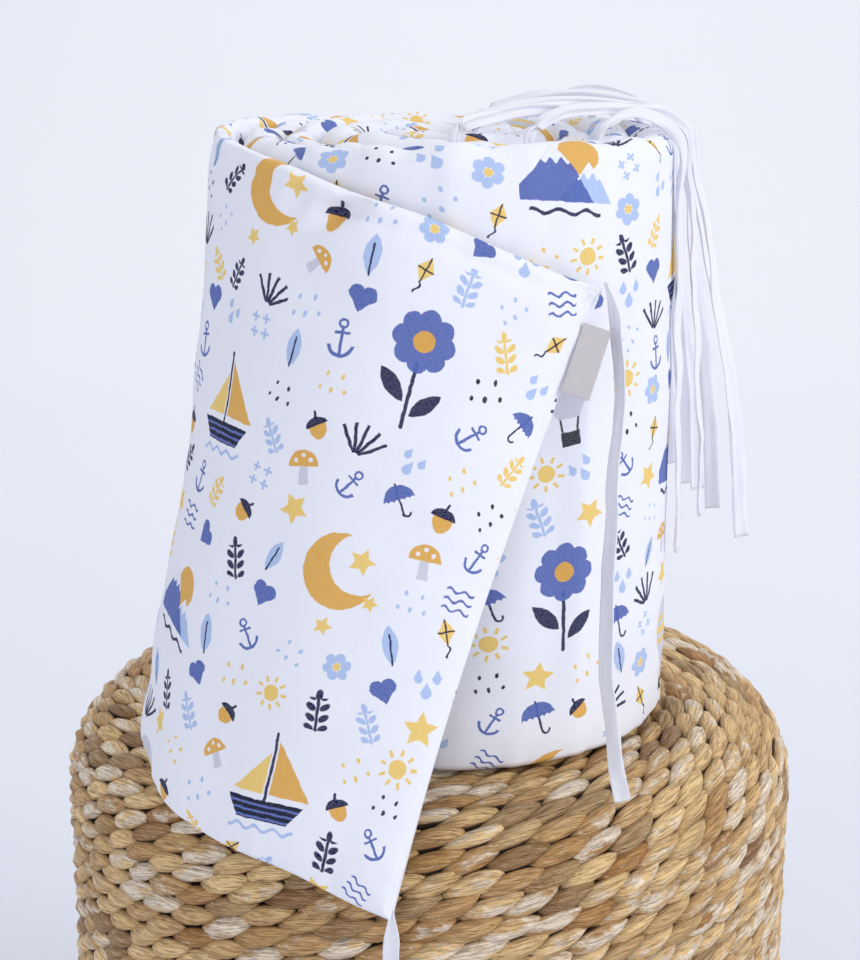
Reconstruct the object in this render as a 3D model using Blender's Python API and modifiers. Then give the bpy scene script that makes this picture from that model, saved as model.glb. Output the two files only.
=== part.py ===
"""A padded crib bumper rolled up on its long edge, standing on a woven pouffe.

Metres, +Z up. The origin is the centre of the pouffe's base, and the roll's loose end hangs towards -Y.
"""

import math

import bmesh
import bpy
from mathutils import Matrix, Vector

# Pouffe: a round woven drum with a rounded top edge.
POUFFE_RADIUS = 0.196
POUFFE_HEIGHT = 0.36
POUFFE_EDGE_RADIUS = 0.045
POUFFE_FOOT_RADIUS = 0.012
POUFFE_SIDES = 64
POUFFE_EDGE_STEPS = 6
POUFFE_FOOT_STEPS = 3

# Bumper band, and how it is wound.
BAND_HEIGHT = 0.30
ROLL_AXIS = Vector((0.010, -0.024))
ROLL_RADIUS = 0.1215
TURN_PITCH = 0.020
TURNS = 5
TURN_COLUMNS = 48
LOOSE_ANGLE = 160.0
GROOVE_DEPTH = 0.011
CREST_LIFT = 0.0028
WALL_CROWN = 0.0015
BOTTOM_ROUNDING = 0.006
WALL_ROWS = (0.9, 0.7, 0.45, 0.2)
CREST_SHARES = (0.16, 0.5, 0.84, 1.0)
GAP = 0.0003

# Loose end. Each row is a section across the band, from the roll to the free edge: the distance along
# the band, its lower edge and its upper edge. Heights are above the pouffe's top.
LOOSE_COLUMNS = ("along", "low_x", "low_y", "low_z", "top_x", "top_y", "top_z")
LOOSE_SECTIONS = (
    (0.000, -0.0981, 0.0127, 0.0010, -0.0981, 0.0127, 0.3000),
    (0.044, -0.1160, -0.0270, 0.0010, -0.1020, -0.0355, 0.3000),
    (0.096, -0.1390, -0.0735, 0.0020, -0.0865, -0.0845, 0.2960),
    (0.133, -0.1350, -0.1105, -0.0020, -0.0630, -0.1120, 0.2905),
    (0.167, -0.1250, -0.1395, -0.0095, -0.0360, -0.1295, 0.2815),
    (0.206, -0.0982, -0.1667, -0.0165, -0.0015, -0.1400, 0.2715),
    (0.249, -0.0604, -0.1881, -0.0235, 0.0370, -0.1385, 0.2545),
    (0.276, -0.0363, -0.1972, -0.0325, 0.0600, -0.1325, 0.2440),
    (0.298, -0.0167, -0.2046, -0.0380, 0.0780, -0.1250, 0.2365),
)
LOOSE_STEPS = 30
EDGE_BOW = 0.0057
LOFT = 0.014
EDGE_THICKNESS = 0.005
EDGE_DEPTH = 0.026
HEIGHT_SHARES = (0.0, 0.02, 0.06, 0.14, 0.3, 0.5, 0.7, 0.86, 0.94, 0.98, 1.0)

# Ties: flat cotton tapes with free square-cut ends.
TAPE_WIDTH = 0.008
TAPE_THICKNESS = 0.0012
TAPE_STEPS = 30
# A bundle tie is sewn into the seam on a turn's crest, arches over the roll's top and hangs outside it.
TIE_CLEARANCE = 0.0015
ARCH_SHARES = (0.2, 0.5, 0.8)
FALL_SHARES = ((0.03, 0.0), (0.15, 0.22), (0.4, 0.5), (0.7, 0.84), (1.0, 1.0))
BUNDLE_COLUMNS = (
    "turns_in",
    "root_angle",
    "rim_angle",
    "arch",
    "stand_off",
    "end_radius",
    "end_angle",
    "end_height",
    "end_twist",
)
BUNDLE_TIES = {
    "tie_01": (1, -28, -14, 0.005, 0.0000, 0.1190, -12, 0.088, 60),
    "tie_02": (2, -52, -7, 0.005, 0.0020, 0.1300, -6, 0.104, 50),
    "tie_03": (2, -88, 0, 0.005, 0.0020, 0.1535, 0, 0.088, 30),
    "tie_04": (4, -64, 7, 0.007, 0.0005, 0.1400, 5, 0.100, 65),
    "tie_05": (4, 48, 13, 0.007, 0.0020, 0.1560, 10, 0.112, 25),
    "tie_06": (1, 28, 19, 0.004, 0.0000, 0.1330, 17, 0.106, 45),
    "tie_07": (2, 40, 25, 0.007, 0.0026, 0.1480, 22, 0.098, 40),
    "tie_08": (1, 48, 31, 0.005, 0.0005, 0.1400, 28, 0.110, 55),
}
# A corner tie is a route through these points. Heights are above the pouffe's top, and turn is the angle in
# degrees that the tape's width makes with X.
CORNER_COLUMNS = ("x", "y", "height", "turn")
CORNER_TIES = {
    "tie_top_corner": (
        (0.0803, -0.1275, 0.2395, -55),
        (0.0830, -0.1275, 0.2325, -55),
        (0.0860, -0.1275, 0.2150, -55),
        (0.0860, -0.1270, 0.1500, -50),
        (0.0845, -0.1270, 0.0900, -45),
        (0.0865, -0.1290, 0.0350, -40),
        (0.0900, -0.1400, 0.0060, -30),
        (0.0915, -0.1560, -0.0020, -25),
    ),
    "tie_bottom_corner": (
        (-0.0165, -0.2052, -0.0390, -30),
        (-0.0165, -0.2065, -0.0500, -30),
        (-0.0185, -0.2060, -0.1100, -30),
        (-0.0190, -0.2050, -0.1900, -20),
        (-0.0170, -0.2050, -0.3000, -10),
    ),
}

# Woven tab, sewn in a little way in from the free edge and swung out of the band's face.
LABEL_LENGTH = 0.033
LABEL_WIDTH = 0.0134
LABEL_THICKNESS = 0.001
LABEL_FROM_TOP = 0.034
LABEL_SEWN_IN = 0.003
LABEL_SWING = 20.0


def material(name, colour, roughness):
    made = bpy.data.materials.new(name)
    made.use_nodes = True
    shader = made.node_tree.nodes["Principled BSDF"]
    shader.inputs["Base Color"].default_value = (*colour, 1.0)
    shader.inputs["Roughness"].default_value = roughness
    shader.inputs["Metallic"].default_value = 0.0
    return made


def add_object(name, mesh, collection, finish):
    """Turns a bmesh into a named, smooth-shaded object of one material."""
    bmesh.ops.recalc_face_normals(mesh, faces=mesh.faces[:])
    data = bpy.data.meshes.new(name)
    mesh.to_mesh(data)
    mesh.free()
    made = bpy.data.objects.new(name, data)
    collection.objects.link(made)
    data.materials.append(finish)
    data.shade_smooth()
    data.set_sharp_from_angle(angle=math.radians(40))
    return made


def slope_at(stations, values, i):
    """Slope at a station, weighed between the spans on its two sides."""
    low = max(i - 1, 0)
    high = min(i + 1, len(values) - 1)
    if low == i or high == i:
        return (values[high] - values[low]) / (stations[high] - stations[low])
    before = (values[i] - values[low]) / (stations[i] - stations[low])
    after = (values[high] - values[i]) / (stations[high] - stations[i])
    share = (stations[i] - stations[low]) / (stations[high] - stations[low])
    return before * (1 - share) + after * share


def smooth_value(stations, values, place):
    """The value at a place on the smooth curve that takes each value at its station."""
    i = 0
    while i < len(stations) - 2 and place > stations[i + 1]:
        i += 1
    span = stations[i + 1] - stations[i]
    t = (place - stations[i]) / span
    leave = slope_at(stations, values, i) * span
    arrive = slope_at(stations, values, i + 1) * span
    rise = values[i + 1] - values[i]
    bend = (3 * rise - 2 * leave - arrive) * t**2 + (leave + arrive - 2 * rise) * t**3
    return values[i] + leave * t + bend


def stations_of(points):
    """Distance along the straight lines between the points, at each of them."""
    stations = [0.0]
    for here, there in zip(points, points[1:]):
        stations.append(stations[-1] + (there - here).length)
    return stations


def turn_radius(degrees):
    """Outer radius of the wound band, that many degrees past the departure line of the loose end."""
    return ROLL_RADIUS + TURN_PITCH * degrees / 360


def on_roll(radius, degrees, height):
    """A point round the roll's axis: degrees past the departure line, height above the pouffe's top."""
    angle = math.radians(LOOSE_ANGLE + degrees)
    across = Vector((math.cos(angle), math.sin(angle))) * radius
    return Vector((ROLL_AXIS.x + across.x, ROLL_AXIS.y + across.y, POUFFE_HEIGHT + height))


def crest_height(degrees):
    """Height of a turn's crest: the turns don't stand quite level."""
    slow = math.sin(math.radians(1.31 * degrees + 20))
    quick = math.sin(math.radians(2.9 * degrees + 75))
    return BAND_HEIGHT + CREST_LIFT * (0.7 * slow + 0.3 * quick)


def top_height(degrees, share):
    """Height of the roll's top at a share of the way across a turn, from its inner to its outer groove."""
    floor = BAND_HEIGHT - GROOVE_DEPTH
    return floor + (crest_height(degrees) - floor) * math.sin(math.pi * share) ** 0.6


def build_roll(collection, finish):
    """The wound band as one body: rounded turns on top, and a step where the loose end leaves."""
    mesh = bmesh.new()
    first = -TURNS * TURN_COLUMNS
    outer_start = -TURN_COLUMNS
    turn_points = {}
    for column in range(first, 1):
        degrees = 360 * column / TURN_COLUMNS
        row = []
        for share in CREST_SHARES:
            radius = turn_radius(degrees) - TURN_PITCH * (1 - share)
            row.append(mesh.verts.new(on_roll(radius, degrees, top_height(degrees, share))))
        turn_points[column] = row
    eye = mesh.verts.new(on_roll(0, 0, BAND_HEIGHT - GROOVE_DEPTH))

    def inner(column):
        before = column - TURN_COLUMNS
        return turn_points[before][-1] if before >= first else eye

    for column in range(first, 0):
        here = [inner(column), *turn_points[column]]
        there = [inner(column + 1), *turn_points[column + 1]]
        for i in range(len(here) - 1):
            corners = list(dict.fromkeys((here[i], there[i], there[i + 1], here[i + 1])))
            mesh.faces.new(corners)
    mesh.faces.new([eye, *turn_points[first]])

    floor = BAND_HEIGHT - GROOVE_DEPTH
    walls = {}
    for column in range(outer_start, 1):
        degrees = 360 * column / TURN_COLUMNS
        wall = [turn_points[column][-1]]
        for share in WALL_ROWS:
            crown = WALL_CROWN * math.sin(math.pi * share)
            wall.append(mesh.verts.new(on_roll(turn_radius(degrees) + crown, degrees, floor * share)))
        wall.append(mesh.verts.new(on_roll(turn_radius(degrees), degrees, BOTTOM_ROUNDING)))
        wall.append(mesh.verts.new(on_roll(turn_radius(degrees) - BOTTOM_ROUNDING / 2, degrees, GAP)))
        walls[column] = wall
    for column in range(outer_start, 0):
        here, there = walls[column], walls[column + 1]
        for i in range(len(here) - 1):
            mesh.faces.new((here[i], there[i], there[i + 1], here[i + 1]))
    step = [*walls[outer_start], *reversed(walls[0]), *reversed(turn_points[0][:-1])]
    mesh.faces.new(step)
    mesh.faces.new([walls[column][-1] for column in range(outer_start, 1)])
    return add_object("bumper_roll", mesh, collection, finish)


def loose_edges(share):
    """The lower and upper edge points of the loose end, at a share of its length."""
    stations = []
    lows = []
    tops = []
    for section in LOOSE_SECTIONS:
        size = dict(zip(LOOSE_COLUMNS, section))
        stations.append(size["along"])
        lows.append(Vector((size["low_x"], size["low_y"], POUFFE_HEIGHT + size["low_z"])))
        tops.append(Vector((size["top_x"], size["top_y"], POUFFE_HEIGHT + size["top_z"])))
    place = share * stations[-1]
    return smooth_value(stations, lows, place), smooth_value(stations, tops, place)


def loose_point(share, height_share):
    """A point halfway through the loose end's thickness. The free edge bows in between its corners."""
    bow = EDGE_BOW * math.sin(math.pi * height_share) ** 0.8
    low, top = loose_edges(share - bow / LOOSE_SECTIONS[-1][0] * share**3)
    return low.lerp(top, height_share)


def loose_frame(share, height_share):
    """That point, with the directions along the band, up it and out of its face."""
    step = 0.01
    back = max(share - step, 0.0)
    ahead = min(share + step, 1.0)
    along = (loose_point(ahead, height_share) - loose_point(back, height_share)).normalized()
    low, top = loose_edges(share)
    up = (top - low).normalized()
    return loose_point(share, height_share), along, up, up.cross(along).normalized()


def loft_at(share, height_share):
    """Thickness of the padded band, which thins to its sewn edges."""
    length = LOOSE_SECTIONS[-1][0]
    to_edge = min(height_share, 1 - height_share) * BAND_HEIGHT
    to_edge = min(to_edge, (1 - share) * length)
    rise = min(to_edge / EDGE_DEPTH, 1.0)
    return EDGE_THICKNESS + (LOFT - EDGE_THICKNESS) * math.sin(0.5 * math.pi * rise) ** 0.7


def build_loose_end(collection, finish):
    """The padded end that comes off the roll: an outer and an inner face lofted through the sections."""
    mesh = bmesh.new()
    shares = [i / LOOSE_STEPS for i in range(LOOSE_STEPS)]
    shares += [1 - 0.3 / LOOSE_STEPS, 1.0]
    outer = []
    inner = []
    for share in shares:
        outer_row = []
        inner_row = []
        for height_share in HEIGHT_SHARES:
            middle, _, _, face = loose_frame(share, height_share)
            half = 0.5 * loft_at(share, height_share) * face
            outer_row.append(mesh.verts.new(middle - half))
            inner_row.append(mesh.verts.new(middle + half))
        outer.append(outer_row)
        inner.append(inner_row)
    for side in (outer, inner):
        for here, there in zip(side, side[1:]):
            for i in range(len(HEIGHT_SHARES) - 1):
                mesh.faces.new((here[i], there[i], there[i + 1], here[i + 1]))
    for row in (0, -1):
        for i in range(len(HEIGHT_SHARES) - 1):
            mesh.faces.new((outer[row][i], outer[row][i + 1], inner[row][i + 1], inner[row][i]))
    for i in range(len(shares) - 1):
        for edge in (0, -1):
            mesh.faces.new((outer[i][edge], outer[i + 1][edge], inner[i + 1][edge], inner[i][edge]))
    return add_object("bumper_tail", mesh, collection, finish)


def build_tape(name, points, sides, collection, finish):
    """A flat tape: a strip through the points, TAPE_WIDTH wide along each side direction."""
    mesh = bmesh.new()
    rails = []
    for point, side in zip(points, sides):
        half = 0.5 * TAPE_WIDTH * side
        rails.append((mesh.verts.new(point - half), mesh.verts.new(point + half)))
    for here, there in zip(rails, rails[1:]):
        mesh.faces.new((here[0], here[1], there[1], there[0]))
    made = add_object(name, mesh, collection, finish)
    cloth = made.modifiers.new("cloth", "SOLIDIFY")
    cloth.thickness = TAPE_THICKNESS
    cloth.offset = 0
    cloth.use_even_offset = False
    return made


def square_to(side, tangent):
    """The part of a direction that is square to a tangent, as a unit vector."""
    return (side - side.dot(tangent) * tangent).normalized()


def tape_lines(route, side_at):
    """Points spaced along a smooth route, with the tape's width direction at each."""
    stations = stations_of(route)
    step = stations[-1] / TAPE_STEPS
    points = [smooth_value(stations, route, i * step) for i in range(TAPE_STEPS + 1)]
    sides = []
    for i in range(len(points)):
        tangent = (points[min(i + 1, TAPE_STEPS)] - points[max(i - 1, 0)]).normalized()
        sides.append(square_to(side_at(points[i], tangent, i * step / stations[-1]), tangent))
    return points, sides


def bundle_route(size):
    """The route of a bundle tie, from the seam on a turn's crest to its free end."""
    root_past = size["root_angle"] - LOOSE_ANGLE - 360 * size["turns_in"]
    root_radius = turn_radius(root_past) - 0.5 * TURN_PITCH
    root = on_roll(root_radius, root_past, crest_height(root_past) + TAPE_THICKNESS)
    rim_past = (size["rim_angle"] - LOOSE_ANGLE) % 360 - 360
    clear = BAND_HEIGHT + CREST_LIFT + TIE_CLEARANCE + size["stand_off"]
    rim = on_roll(turn_radius(rim_past) - 0.3 * TURN_PITCH, rim_past, clear)
    route = [root]
    for share in ARCH_SHARES:
        over = root.lerp(rim, share)
        over.z = POUFFE_HEIGHT + clear + size["arch"] * math.sin(math.pi * share)
        route.append(over)
    route.append(rim)
    brow = turn_radius(rim_past) + TIE_CLEARANCE + size["stand_off"]
    fall = clear - size["end_height"]
    turn = size["end_angle"] - size["rim_angle"]
    for drop, spread in FALL_SHARES:
        radius = brow + (size["end_radius"] - brow) * spread
        route.append(on_roll(radius, rim_past + turn * drop, clear - fall * drop))
    return route


def build_bundle_tie(name, size, collection, finish):
    """A bundle tie: flat over the roll's top, then turning as it hangs."""
    route = bundle_route(size)
    rim = route[len(ARCH_SHARES) + 1]
    upward = Vector((0, 0, 1))
    arch_side = upward.cross(rim - route[0]).normalized()
    fall_side = upward.cross(rim - Vector((ROLL_AXIS.x, ROLL_AXIS.y, rim.z))).normalized()

    def side_at(point, tangent, share):
        fallen = min(share / 0.4, 1.0)
        twist = math.radians(size["end_twist"]) * max(0.0, 2 * share - 1)
        side = square_to(arch_side.lerp(fall_side, fallen), tangent)
        return Matrix.Rotation(twist, 3, tangent) @ side

    points, sides = tape_lines(route, side_at)
    return build_tape(name, points, sides, collection, finish)


def build_corner_tie(name, rows, collection, finish):
    """A tie sewn to a corner of the loose end, hanging free."""
    route = []
    turns = []
    for row in rows:
        size = dict(zip(CORNER_COLUMNS, row))
        route.append(Vector((size["x"], size["y"], POUFFE_HEIGHT + size["height"])))
        turns.append(size["turn"])
    shares = [i / (len(turns) - 1) for i in range(len(turns))]

    def side_at(point, tangent, share):
        angle = math.radians(smooth_value(shares, turns, share))
        return Vector((math.cos(angle), math.sin(angle), 0))

    points, sides = tape_lines(route, side_at)
    return build_tape(name, points, sides, collection, finish)


def build_label(collection, finish):
    """A small blank tab that stands out over the free edge."""
    height_share = 1 - LABEL_FROM_TOP / BAND_HEIGHT
    share = 1 - LABEL_SEWN_IN / LOOSE_SECTIONS[-1][0]
    middle, along, up, face = loose_frame(share, height_share)
    stand_off = 0.5 * (loft_at(share, height_share) + LABEL_THICKNESS) + 2 * GAP
    swung = Matrix.Rotation(-math.radians(LABEL_SWING), 3, up) @ along
    centre = middle - face * stand_off + swung * 0.5 * LABEL_WIDTH
    bpy.ops.mesh.primitive_cube_add(size=1)
    made = bpy.context.object
    made.name = "label_tab"
    made.data.name = "label_tab"
    for owner in made.users_collection:
        owner.objects.unlink(made)
    collection.objects.link(made)
    across = square_to(swung, up)
    turn = Matrix((across, up, across.cross(up))).transposed().to_4x4()
    size = Matrix.Diagonal((LABEL_WIDTH, LABEL_LENGTH, LABEL_THICKNESS, 1))
    made.data.transform(Matrix.Translation(centre) @ turn @ size)
    made.data.materials.append(finish)
    return made


def build_pouffe(collection, finish):
    """A turned drum with a rounded top edge and a small round at its foot."""
    profile = [(0.0, POUFFE_HEIGHT)]
    for i in range(POUFFE_EDGE_STEPS + 1):
        angle = 0.5 * math.pi * i / POUFFE_EDGE_STEPS
        radius = POUFFE_RADIUS - POUFFE_EDGE_RADIUS * (1 - math.sin(angle))
        profile.append((radius, POUFFE_HEIGHT - POUFFE_EDGE_RADIUS * (1 - math.cos(angle))))
    for i in range(POUFFE_FOOT_STEPS + 1):
        angle = 0.5 * math.pi * i / POUFFE_FOOT_STEPS
        radius = POUFFE_RADIUS - POUFFE_FOOT_RADIUS * (1 - math.cos(angle))
        profile.append((radius, POUFFE_FOOT_RADIUS * (1 - math.sin(angle))))
    profile.append((0.0, 0.0))
    data = bpy.data.meshes.new("pouffe")
    edges = [(i, i + 1) for i in range(len(profile) - 1)]
    data.from_pydata([(radius, 0.0, height) for radius, height in profile], edges, [])
    made = bpy.data.objects.new("pouffe", data)
    collection.objects.link(made)
    data.materials.append(finish)
    turn = made.modifiers.new("turn", "SCREW")
    turn.axis = "Z"
    turn.steps = POUFFE_SIDES
    turn.render_steps = POUFFE_SIDES
    turn.use_merge_vertices = True
    turn.merge_threshold = 0.0001
    turn.use_smooth_shade = True
    return made


def main():
    for old in list(bpy.data.objects):
        bpy.data.objects.remove(old)
    collection = bpy.data.collections.new("crib_bumper_on_pouffe")
    bpy.context.scene.collection.children.link(collection)
    cotton = material("printed_cotton", (0.80, 0.82, 0.90), 0.85)
    tape = material("white_tape", (0.86, 0.87, 0.92), 0.8)
    tab = material("woven_tab", (0.52, 0.50, 0.50), 0.75)
    woven = material("woven_stalks", (0.45, 0.29, 0.13), 0.6)
    build_pouffe(collection, woven)
    build_roll(collection, cotton)
    build_loose_end(collection, cotton)
    for name, row in BUNDLE_TIES.items():
        build_bundle_tie(name, dict(zip(BUNDLE_COLUMNS, row)), collection, tape)
    for name, rows in CORNER_TIES.items():
        build_corner_tie(name, rows, collection, tape)
    build_label(collection, tab)


main()
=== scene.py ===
import math

import bpy
import numpy as np
from bpy.props import FloatProperty, FloatVectorProperty, PointerProperty
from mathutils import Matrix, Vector


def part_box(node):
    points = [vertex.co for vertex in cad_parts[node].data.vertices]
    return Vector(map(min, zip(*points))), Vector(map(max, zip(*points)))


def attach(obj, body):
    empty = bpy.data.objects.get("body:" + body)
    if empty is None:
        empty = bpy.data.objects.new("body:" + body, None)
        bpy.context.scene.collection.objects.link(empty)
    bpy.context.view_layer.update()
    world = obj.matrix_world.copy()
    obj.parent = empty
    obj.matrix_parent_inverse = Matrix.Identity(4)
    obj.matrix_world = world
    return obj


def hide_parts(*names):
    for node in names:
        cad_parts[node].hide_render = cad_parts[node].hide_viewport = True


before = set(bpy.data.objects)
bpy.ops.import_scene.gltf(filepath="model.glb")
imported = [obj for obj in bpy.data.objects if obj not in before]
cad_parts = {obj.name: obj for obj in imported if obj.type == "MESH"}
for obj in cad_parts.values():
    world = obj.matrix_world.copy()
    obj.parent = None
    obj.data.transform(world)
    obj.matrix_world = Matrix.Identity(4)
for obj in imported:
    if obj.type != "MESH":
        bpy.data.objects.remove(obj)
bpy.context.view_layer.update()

bl_info = {
    "name": "Rolled crib bumper on a pouffe",
    "version": (1, 0, 0),
    "blender": (4, 5, 0),
    "location": "View3D > Sidebar > Bumper",
    "description": "Dresses a padded crib bumper, rolled up on a woven pouffe",
    "category": "Object",
}

BODY = "root"

# The pouffe, as the solid has it: its radius, its top, and the radii of its rounded upper edge and its foot.
POUFFE_RADIUS, _, POUFFE_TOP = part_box("pouffe")[1]
POUFFE_EDGE = 0.045
POUFFE_FOOT = 0.012
CORE_DEPTH = 0.0065  # how far the dark core lies inside the strands
STRAND_SPACING, INNER_SPACING = 0.0196, 0.0175  # along a row, and along the small rows inside the top
STRAND_DEPTH = 0.0115

CAMERA_PLACE = (0.0006, -1.0145, 0.7521)
CAMERA_PITCH = 15.44  # degrees down
CAMERA_LENS = 74.25
CAMERA_SENSOR = 36

# The wound band, as the solids have it.
BAND_HEIGHT = 0.30
ROLL_AXIS = np.array((0.010, -0.024))
ROLL_RADIUS = 0.1215
TURN_PITCH = 0.020
TURNS = 5
LOOSE_ANGLE = 160.0  # where the loose end leaves the roll, in degrees round its axis from X
LEAVING_RADIUS = 0.1142  # of the band's middle, where the loose end leaves
LOOSE_HALF = 0.007  # half the thickness of the loose end
OUTER_TURN = 0.76  # length of the outermost turn, which shows all round
CREST_LIFT = 0.0028

# Sections across the loose end: distance along it, then points on its lower and its upper edge, with Z from
# the pouffe's top.
LOOSE_SECTIONS = (
    (0.000, -0.0981, 0.0127, 0.0010, -0.0981, 0.0127, 0.3000),
    (0.044, -0.1160, -0.0270, 0.0010, -0.1020, -0.0355, 0.3000),
    (0.096, -0.1390, -0.0735, 0.0020, -0.0865, -0.0845, 0.2960),
    (0.133, -0.1350, -0.1105, -0.0020, -0.0630, -0.1120, 0.2905),
    (0.167, -0.1250, -0.1395, -0.0095, -0.0360, -0.1295, 0.2815),
    (0.206, -0.0982, -0.1667, -0.0165, -0.0015, -0.1400, 0.2715),
    (0.249, -0.0604, -0.1881, -0.0235, 0.0370, -0.1385, 0.2545),
    (0.276, -0.0363, -0.1972, -0.0325, 0.0600, -0.1325, 0.2440),
    (0.298, -0.0167, -0.2046, -0.0380, 0.0780, -0.1250, 0.2365),
)
EDGE_BOW = 0.0057  # how far the free edge is drawn in halfway up
SEAM_SET_IN = 0.0022

# Each tie's route in metres, from where it is sewn in to its free end.
TIE_ROUTES = {
    "tie_01": (
        (0.0816, -0.0621, 0.6611), (0.0878, -0.0596, 0.6672), (0.0971, -0.0558, 0.6693),
        (0.1065, -0.0521, 0.6672), (0.1127, -0.0496, 0.6643), (0.1200, -0.0513, 0.6578),
        (0.1213, -0.0511, 0.6319), (0.1231, -0.0505, 0.5778), (0.1252, -0.0498, 0.5129),
        (0.1264, -0.0487, 0.4480),
    ),
    "tie_02": (
        (0.0468, -0.0711, 0.6587), (0.0605, -0.0642, 0.6692), (0.0811, -0.0540, 0.6713),
        (0.1017, -0.0438, 0.6692), (0.1154, -0.0369, 0.6663), (0.1249, -0.0380, 0.6602),
        (0.1280, -0.0382, 0.6360), (0.1320, -0.0381, 0.5854), (0.1369, -0.0380, 0.5247),
        (0.1393, -0.0376, 0.4640),
    ),
    "tie_03": (
        (0.0120, -0.0817, 0.6612), (0.0329, -0.0701, 0.6692), (0.0643, -0.0528, 0.6713),
        (0.0957, -0.0355, 0.6692), (0.1166, -0.0240, 0.6663), (0.1261, -0.0240, 0.6598),
        (0.1343, -0.0240, 0.6336), (0.1448, -0.0240, 0.5790), (0.1575, -0.0240, 0.5135),
        (0.1635, -0.0240, 0.4480),
    ),
    "tie_04": (
        (0.0184, -0.0411, 0.6604), (0.0379, -0.0351, 0.6689), (0.0673, -0.0260, 0.6718),
        (0.0966, -0.0170, 0.6689), (0.1162, -0.0110, 0.6648), (0.1242, -0.0101, 0.6587),
        (0.1297, -0.0099, 0.6341), (0.1368, -0.0102, 0.5829), (0.1454, -0.0107, 0.5214),
        (0.1495, -0.0118, 0.4600),
    ),
    "tie_05": (
        (0.0269, -0.0052, 0.6615), (0.0444, -0.0041, 0.6704), (0.0707, -0.0025, 0.6733),
        (0.0970, -0.0009, 0.6704), (0.1146, 0.0001, 0.6663), (0.1239, 0.0021, 0.6605),
        (0.1325, 0.0033, 0.6372), (0.1435, 0.0039, 0.5886), (0.1570, 0.0043, 0.5303),
        (0.1636, 0.0031, 0.4720),
    ),
    "tie_06": (
        (0.0843, 0.0155, 0.6640), (0.0898, 0.0146, 0.6667), (0.0981, 0.0133, 0.6683),
        (0.1063, 0.0119, 0.6667), (0.1118, 0.0111, 0.6643), (0.1189, 0.0134, 0.6584),
        (0.1228, 0.0142, 0.6346), (0.1279, 0.0148, 0.5850), (0.1341, 0.0154, 0.5255),
        (0.1372, 0.0149, 0.4660),
    ),
    "tie_07": (
        (0.0597, 0.0177, 0.6615), (0.0693, 0.0185, 0.6710), (0.0838, 0.0197, 0.6739),
        (0.0982, 0.0208, 0.6710), (0.1079, 0.0216, 0.6669), (0.1171, 0.0257, 0.6606),
        (0.1234, 0.0278, 0.6356), (0.1317, 0.0297, 0.5833), (0.1419, 0.0317, 0.5207),
        (0.1472, 0.0314, 0.4580),
    ),
    "tie_08": (
        (0.0671, 0.0394, 0.6633), (0.0742, 0.0379, 0.6677), (0.0850, 0.0356, 0.6698),
        (0.0957, 0.0333, 0.6677), (0.1029, 0.0318, 0.6648), (0.1098, 0.0358, 0.6590),
        (0.1147, 0.0378, 0.6356), (0.1212, 0.0397, 0.5869), (0.1292, 0.0418, 0.5284),
        (0.1336, 0.0417, 0.4700),
    ),
    "tie_top_corner": (
        (0.0803, -0.1275, 0.5995), (0.0830, -0.1275, 0.5925), (0.0860, -0.1275, 0.5750),
        (0.0860, -0.1270, 0.5100), (0.0845, -0.1270, 0.4500), (0.0865, -0.1290, 0.3950),
        (0.0900, -0.1400, 0.3660), (0.0915, -0.1560, 0.3580),
    ),
    "tie_bottom_corner": (
        (-0.0165, -0.2052, 0.3210), (-0.0165, -0.2065, 0.3100), (-0.0185, -0.2060, 0.2500),
        (-0.0190, -0.2050, 0.1700), (-0.0170, -0.2050, 0.0600),
    ),
}
# How the tape faces: at each share of its length, the angle in degrees that its width makes with X, and how
# far its width lifts out of level.
TIE_TURNS = {
    "tie_01": ((0.0, 60, 10), (0.12, 70, 45), (0.26, 72, 25), (0.45, 55, 0), (0.7, 62, 0), (1.0, 74, 0)),
    "tie_02": ((0.0, 35, 15), (0.15, 30, 62), (0.3, 42, 40), (0.45, 60, 5), (0.7, 66, 0), (1.0, 78, 0)),
    "tie_03": ((0.0, 25, 20), (0.2, 28, 66), (0.38, 40, 45), (0.5, 60, 8), (0.75, 30, 0), (1.0, 8, 0)),
    "tie_04": ((0.0, 20, 20), (0.18, 18, 60), (0.34, 40, 45), (0.48, 60, 5), (0.7, 20, 0), (1.0, -5, 0)),
    "tie_05": ((0.0, 10, 20), (0.18, 5, 64), (0.34, 30, 50), (0.48, 62, 8), (0.7, 66, 0), (1.0, 70, 0)),
    "tie_06": ((0.0, 95, 10), (0.15, 60, 40), (0.28, 70, 20), (0.45, 60, 0), (0.7, 25, 0), (1.0, 10, 0)),
    "tie_07": ((0.0, 20, 20), (0.15, 12, 62), (0.3, 40, 40), (0.45, 66, 5), (0.7, 36, 0), (1.0, 18, 0)),
    "tie_08": ((0.0, 100, 10), (0.14, 60, 45), (0.28, 75, 20), (0.45, 76, 0), (0.7, 50, 0), (1.0, 30, 0)),
    "tie_top_corner": (
        (0.0, -62, 0), (0.14, -56, 0), (0.43, -52, 0),
        (0.6, -46, 0), (0.8, -40, 0), (1.0, -36, 0),
    ),
    "tie_bottom_corner": ((0.0, -26, 0), (0.5, -22, 0), (1.0, -10, 0)),
}
# How strongly each tape is folded along its length where it lies bunched.
TIE_FOLD = {
    "tie_01": 0.8, "tie_02": 1.0, "tie_03": 0.9, "tie_04": 1.0,
    "tie_05": 0.8, "tie_06": 0.9, "tie_07": 1.0, "tie_08": 0.8,
    "tie_top_corner": 0.25, "tie_bottom_corner": 0.0,
}
# How far a tie's hidden start reaches past its route: up into a corner's seam, or down between the turns.
BUNDLE_TUCK = -0.007
CORNER_TUCK = {"tie_bottom_corner": 0.006, "tie_top_corner": 0.0}
TAPE_ROW = 0.0022
TAPE_COLUMNS = 11

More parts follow.
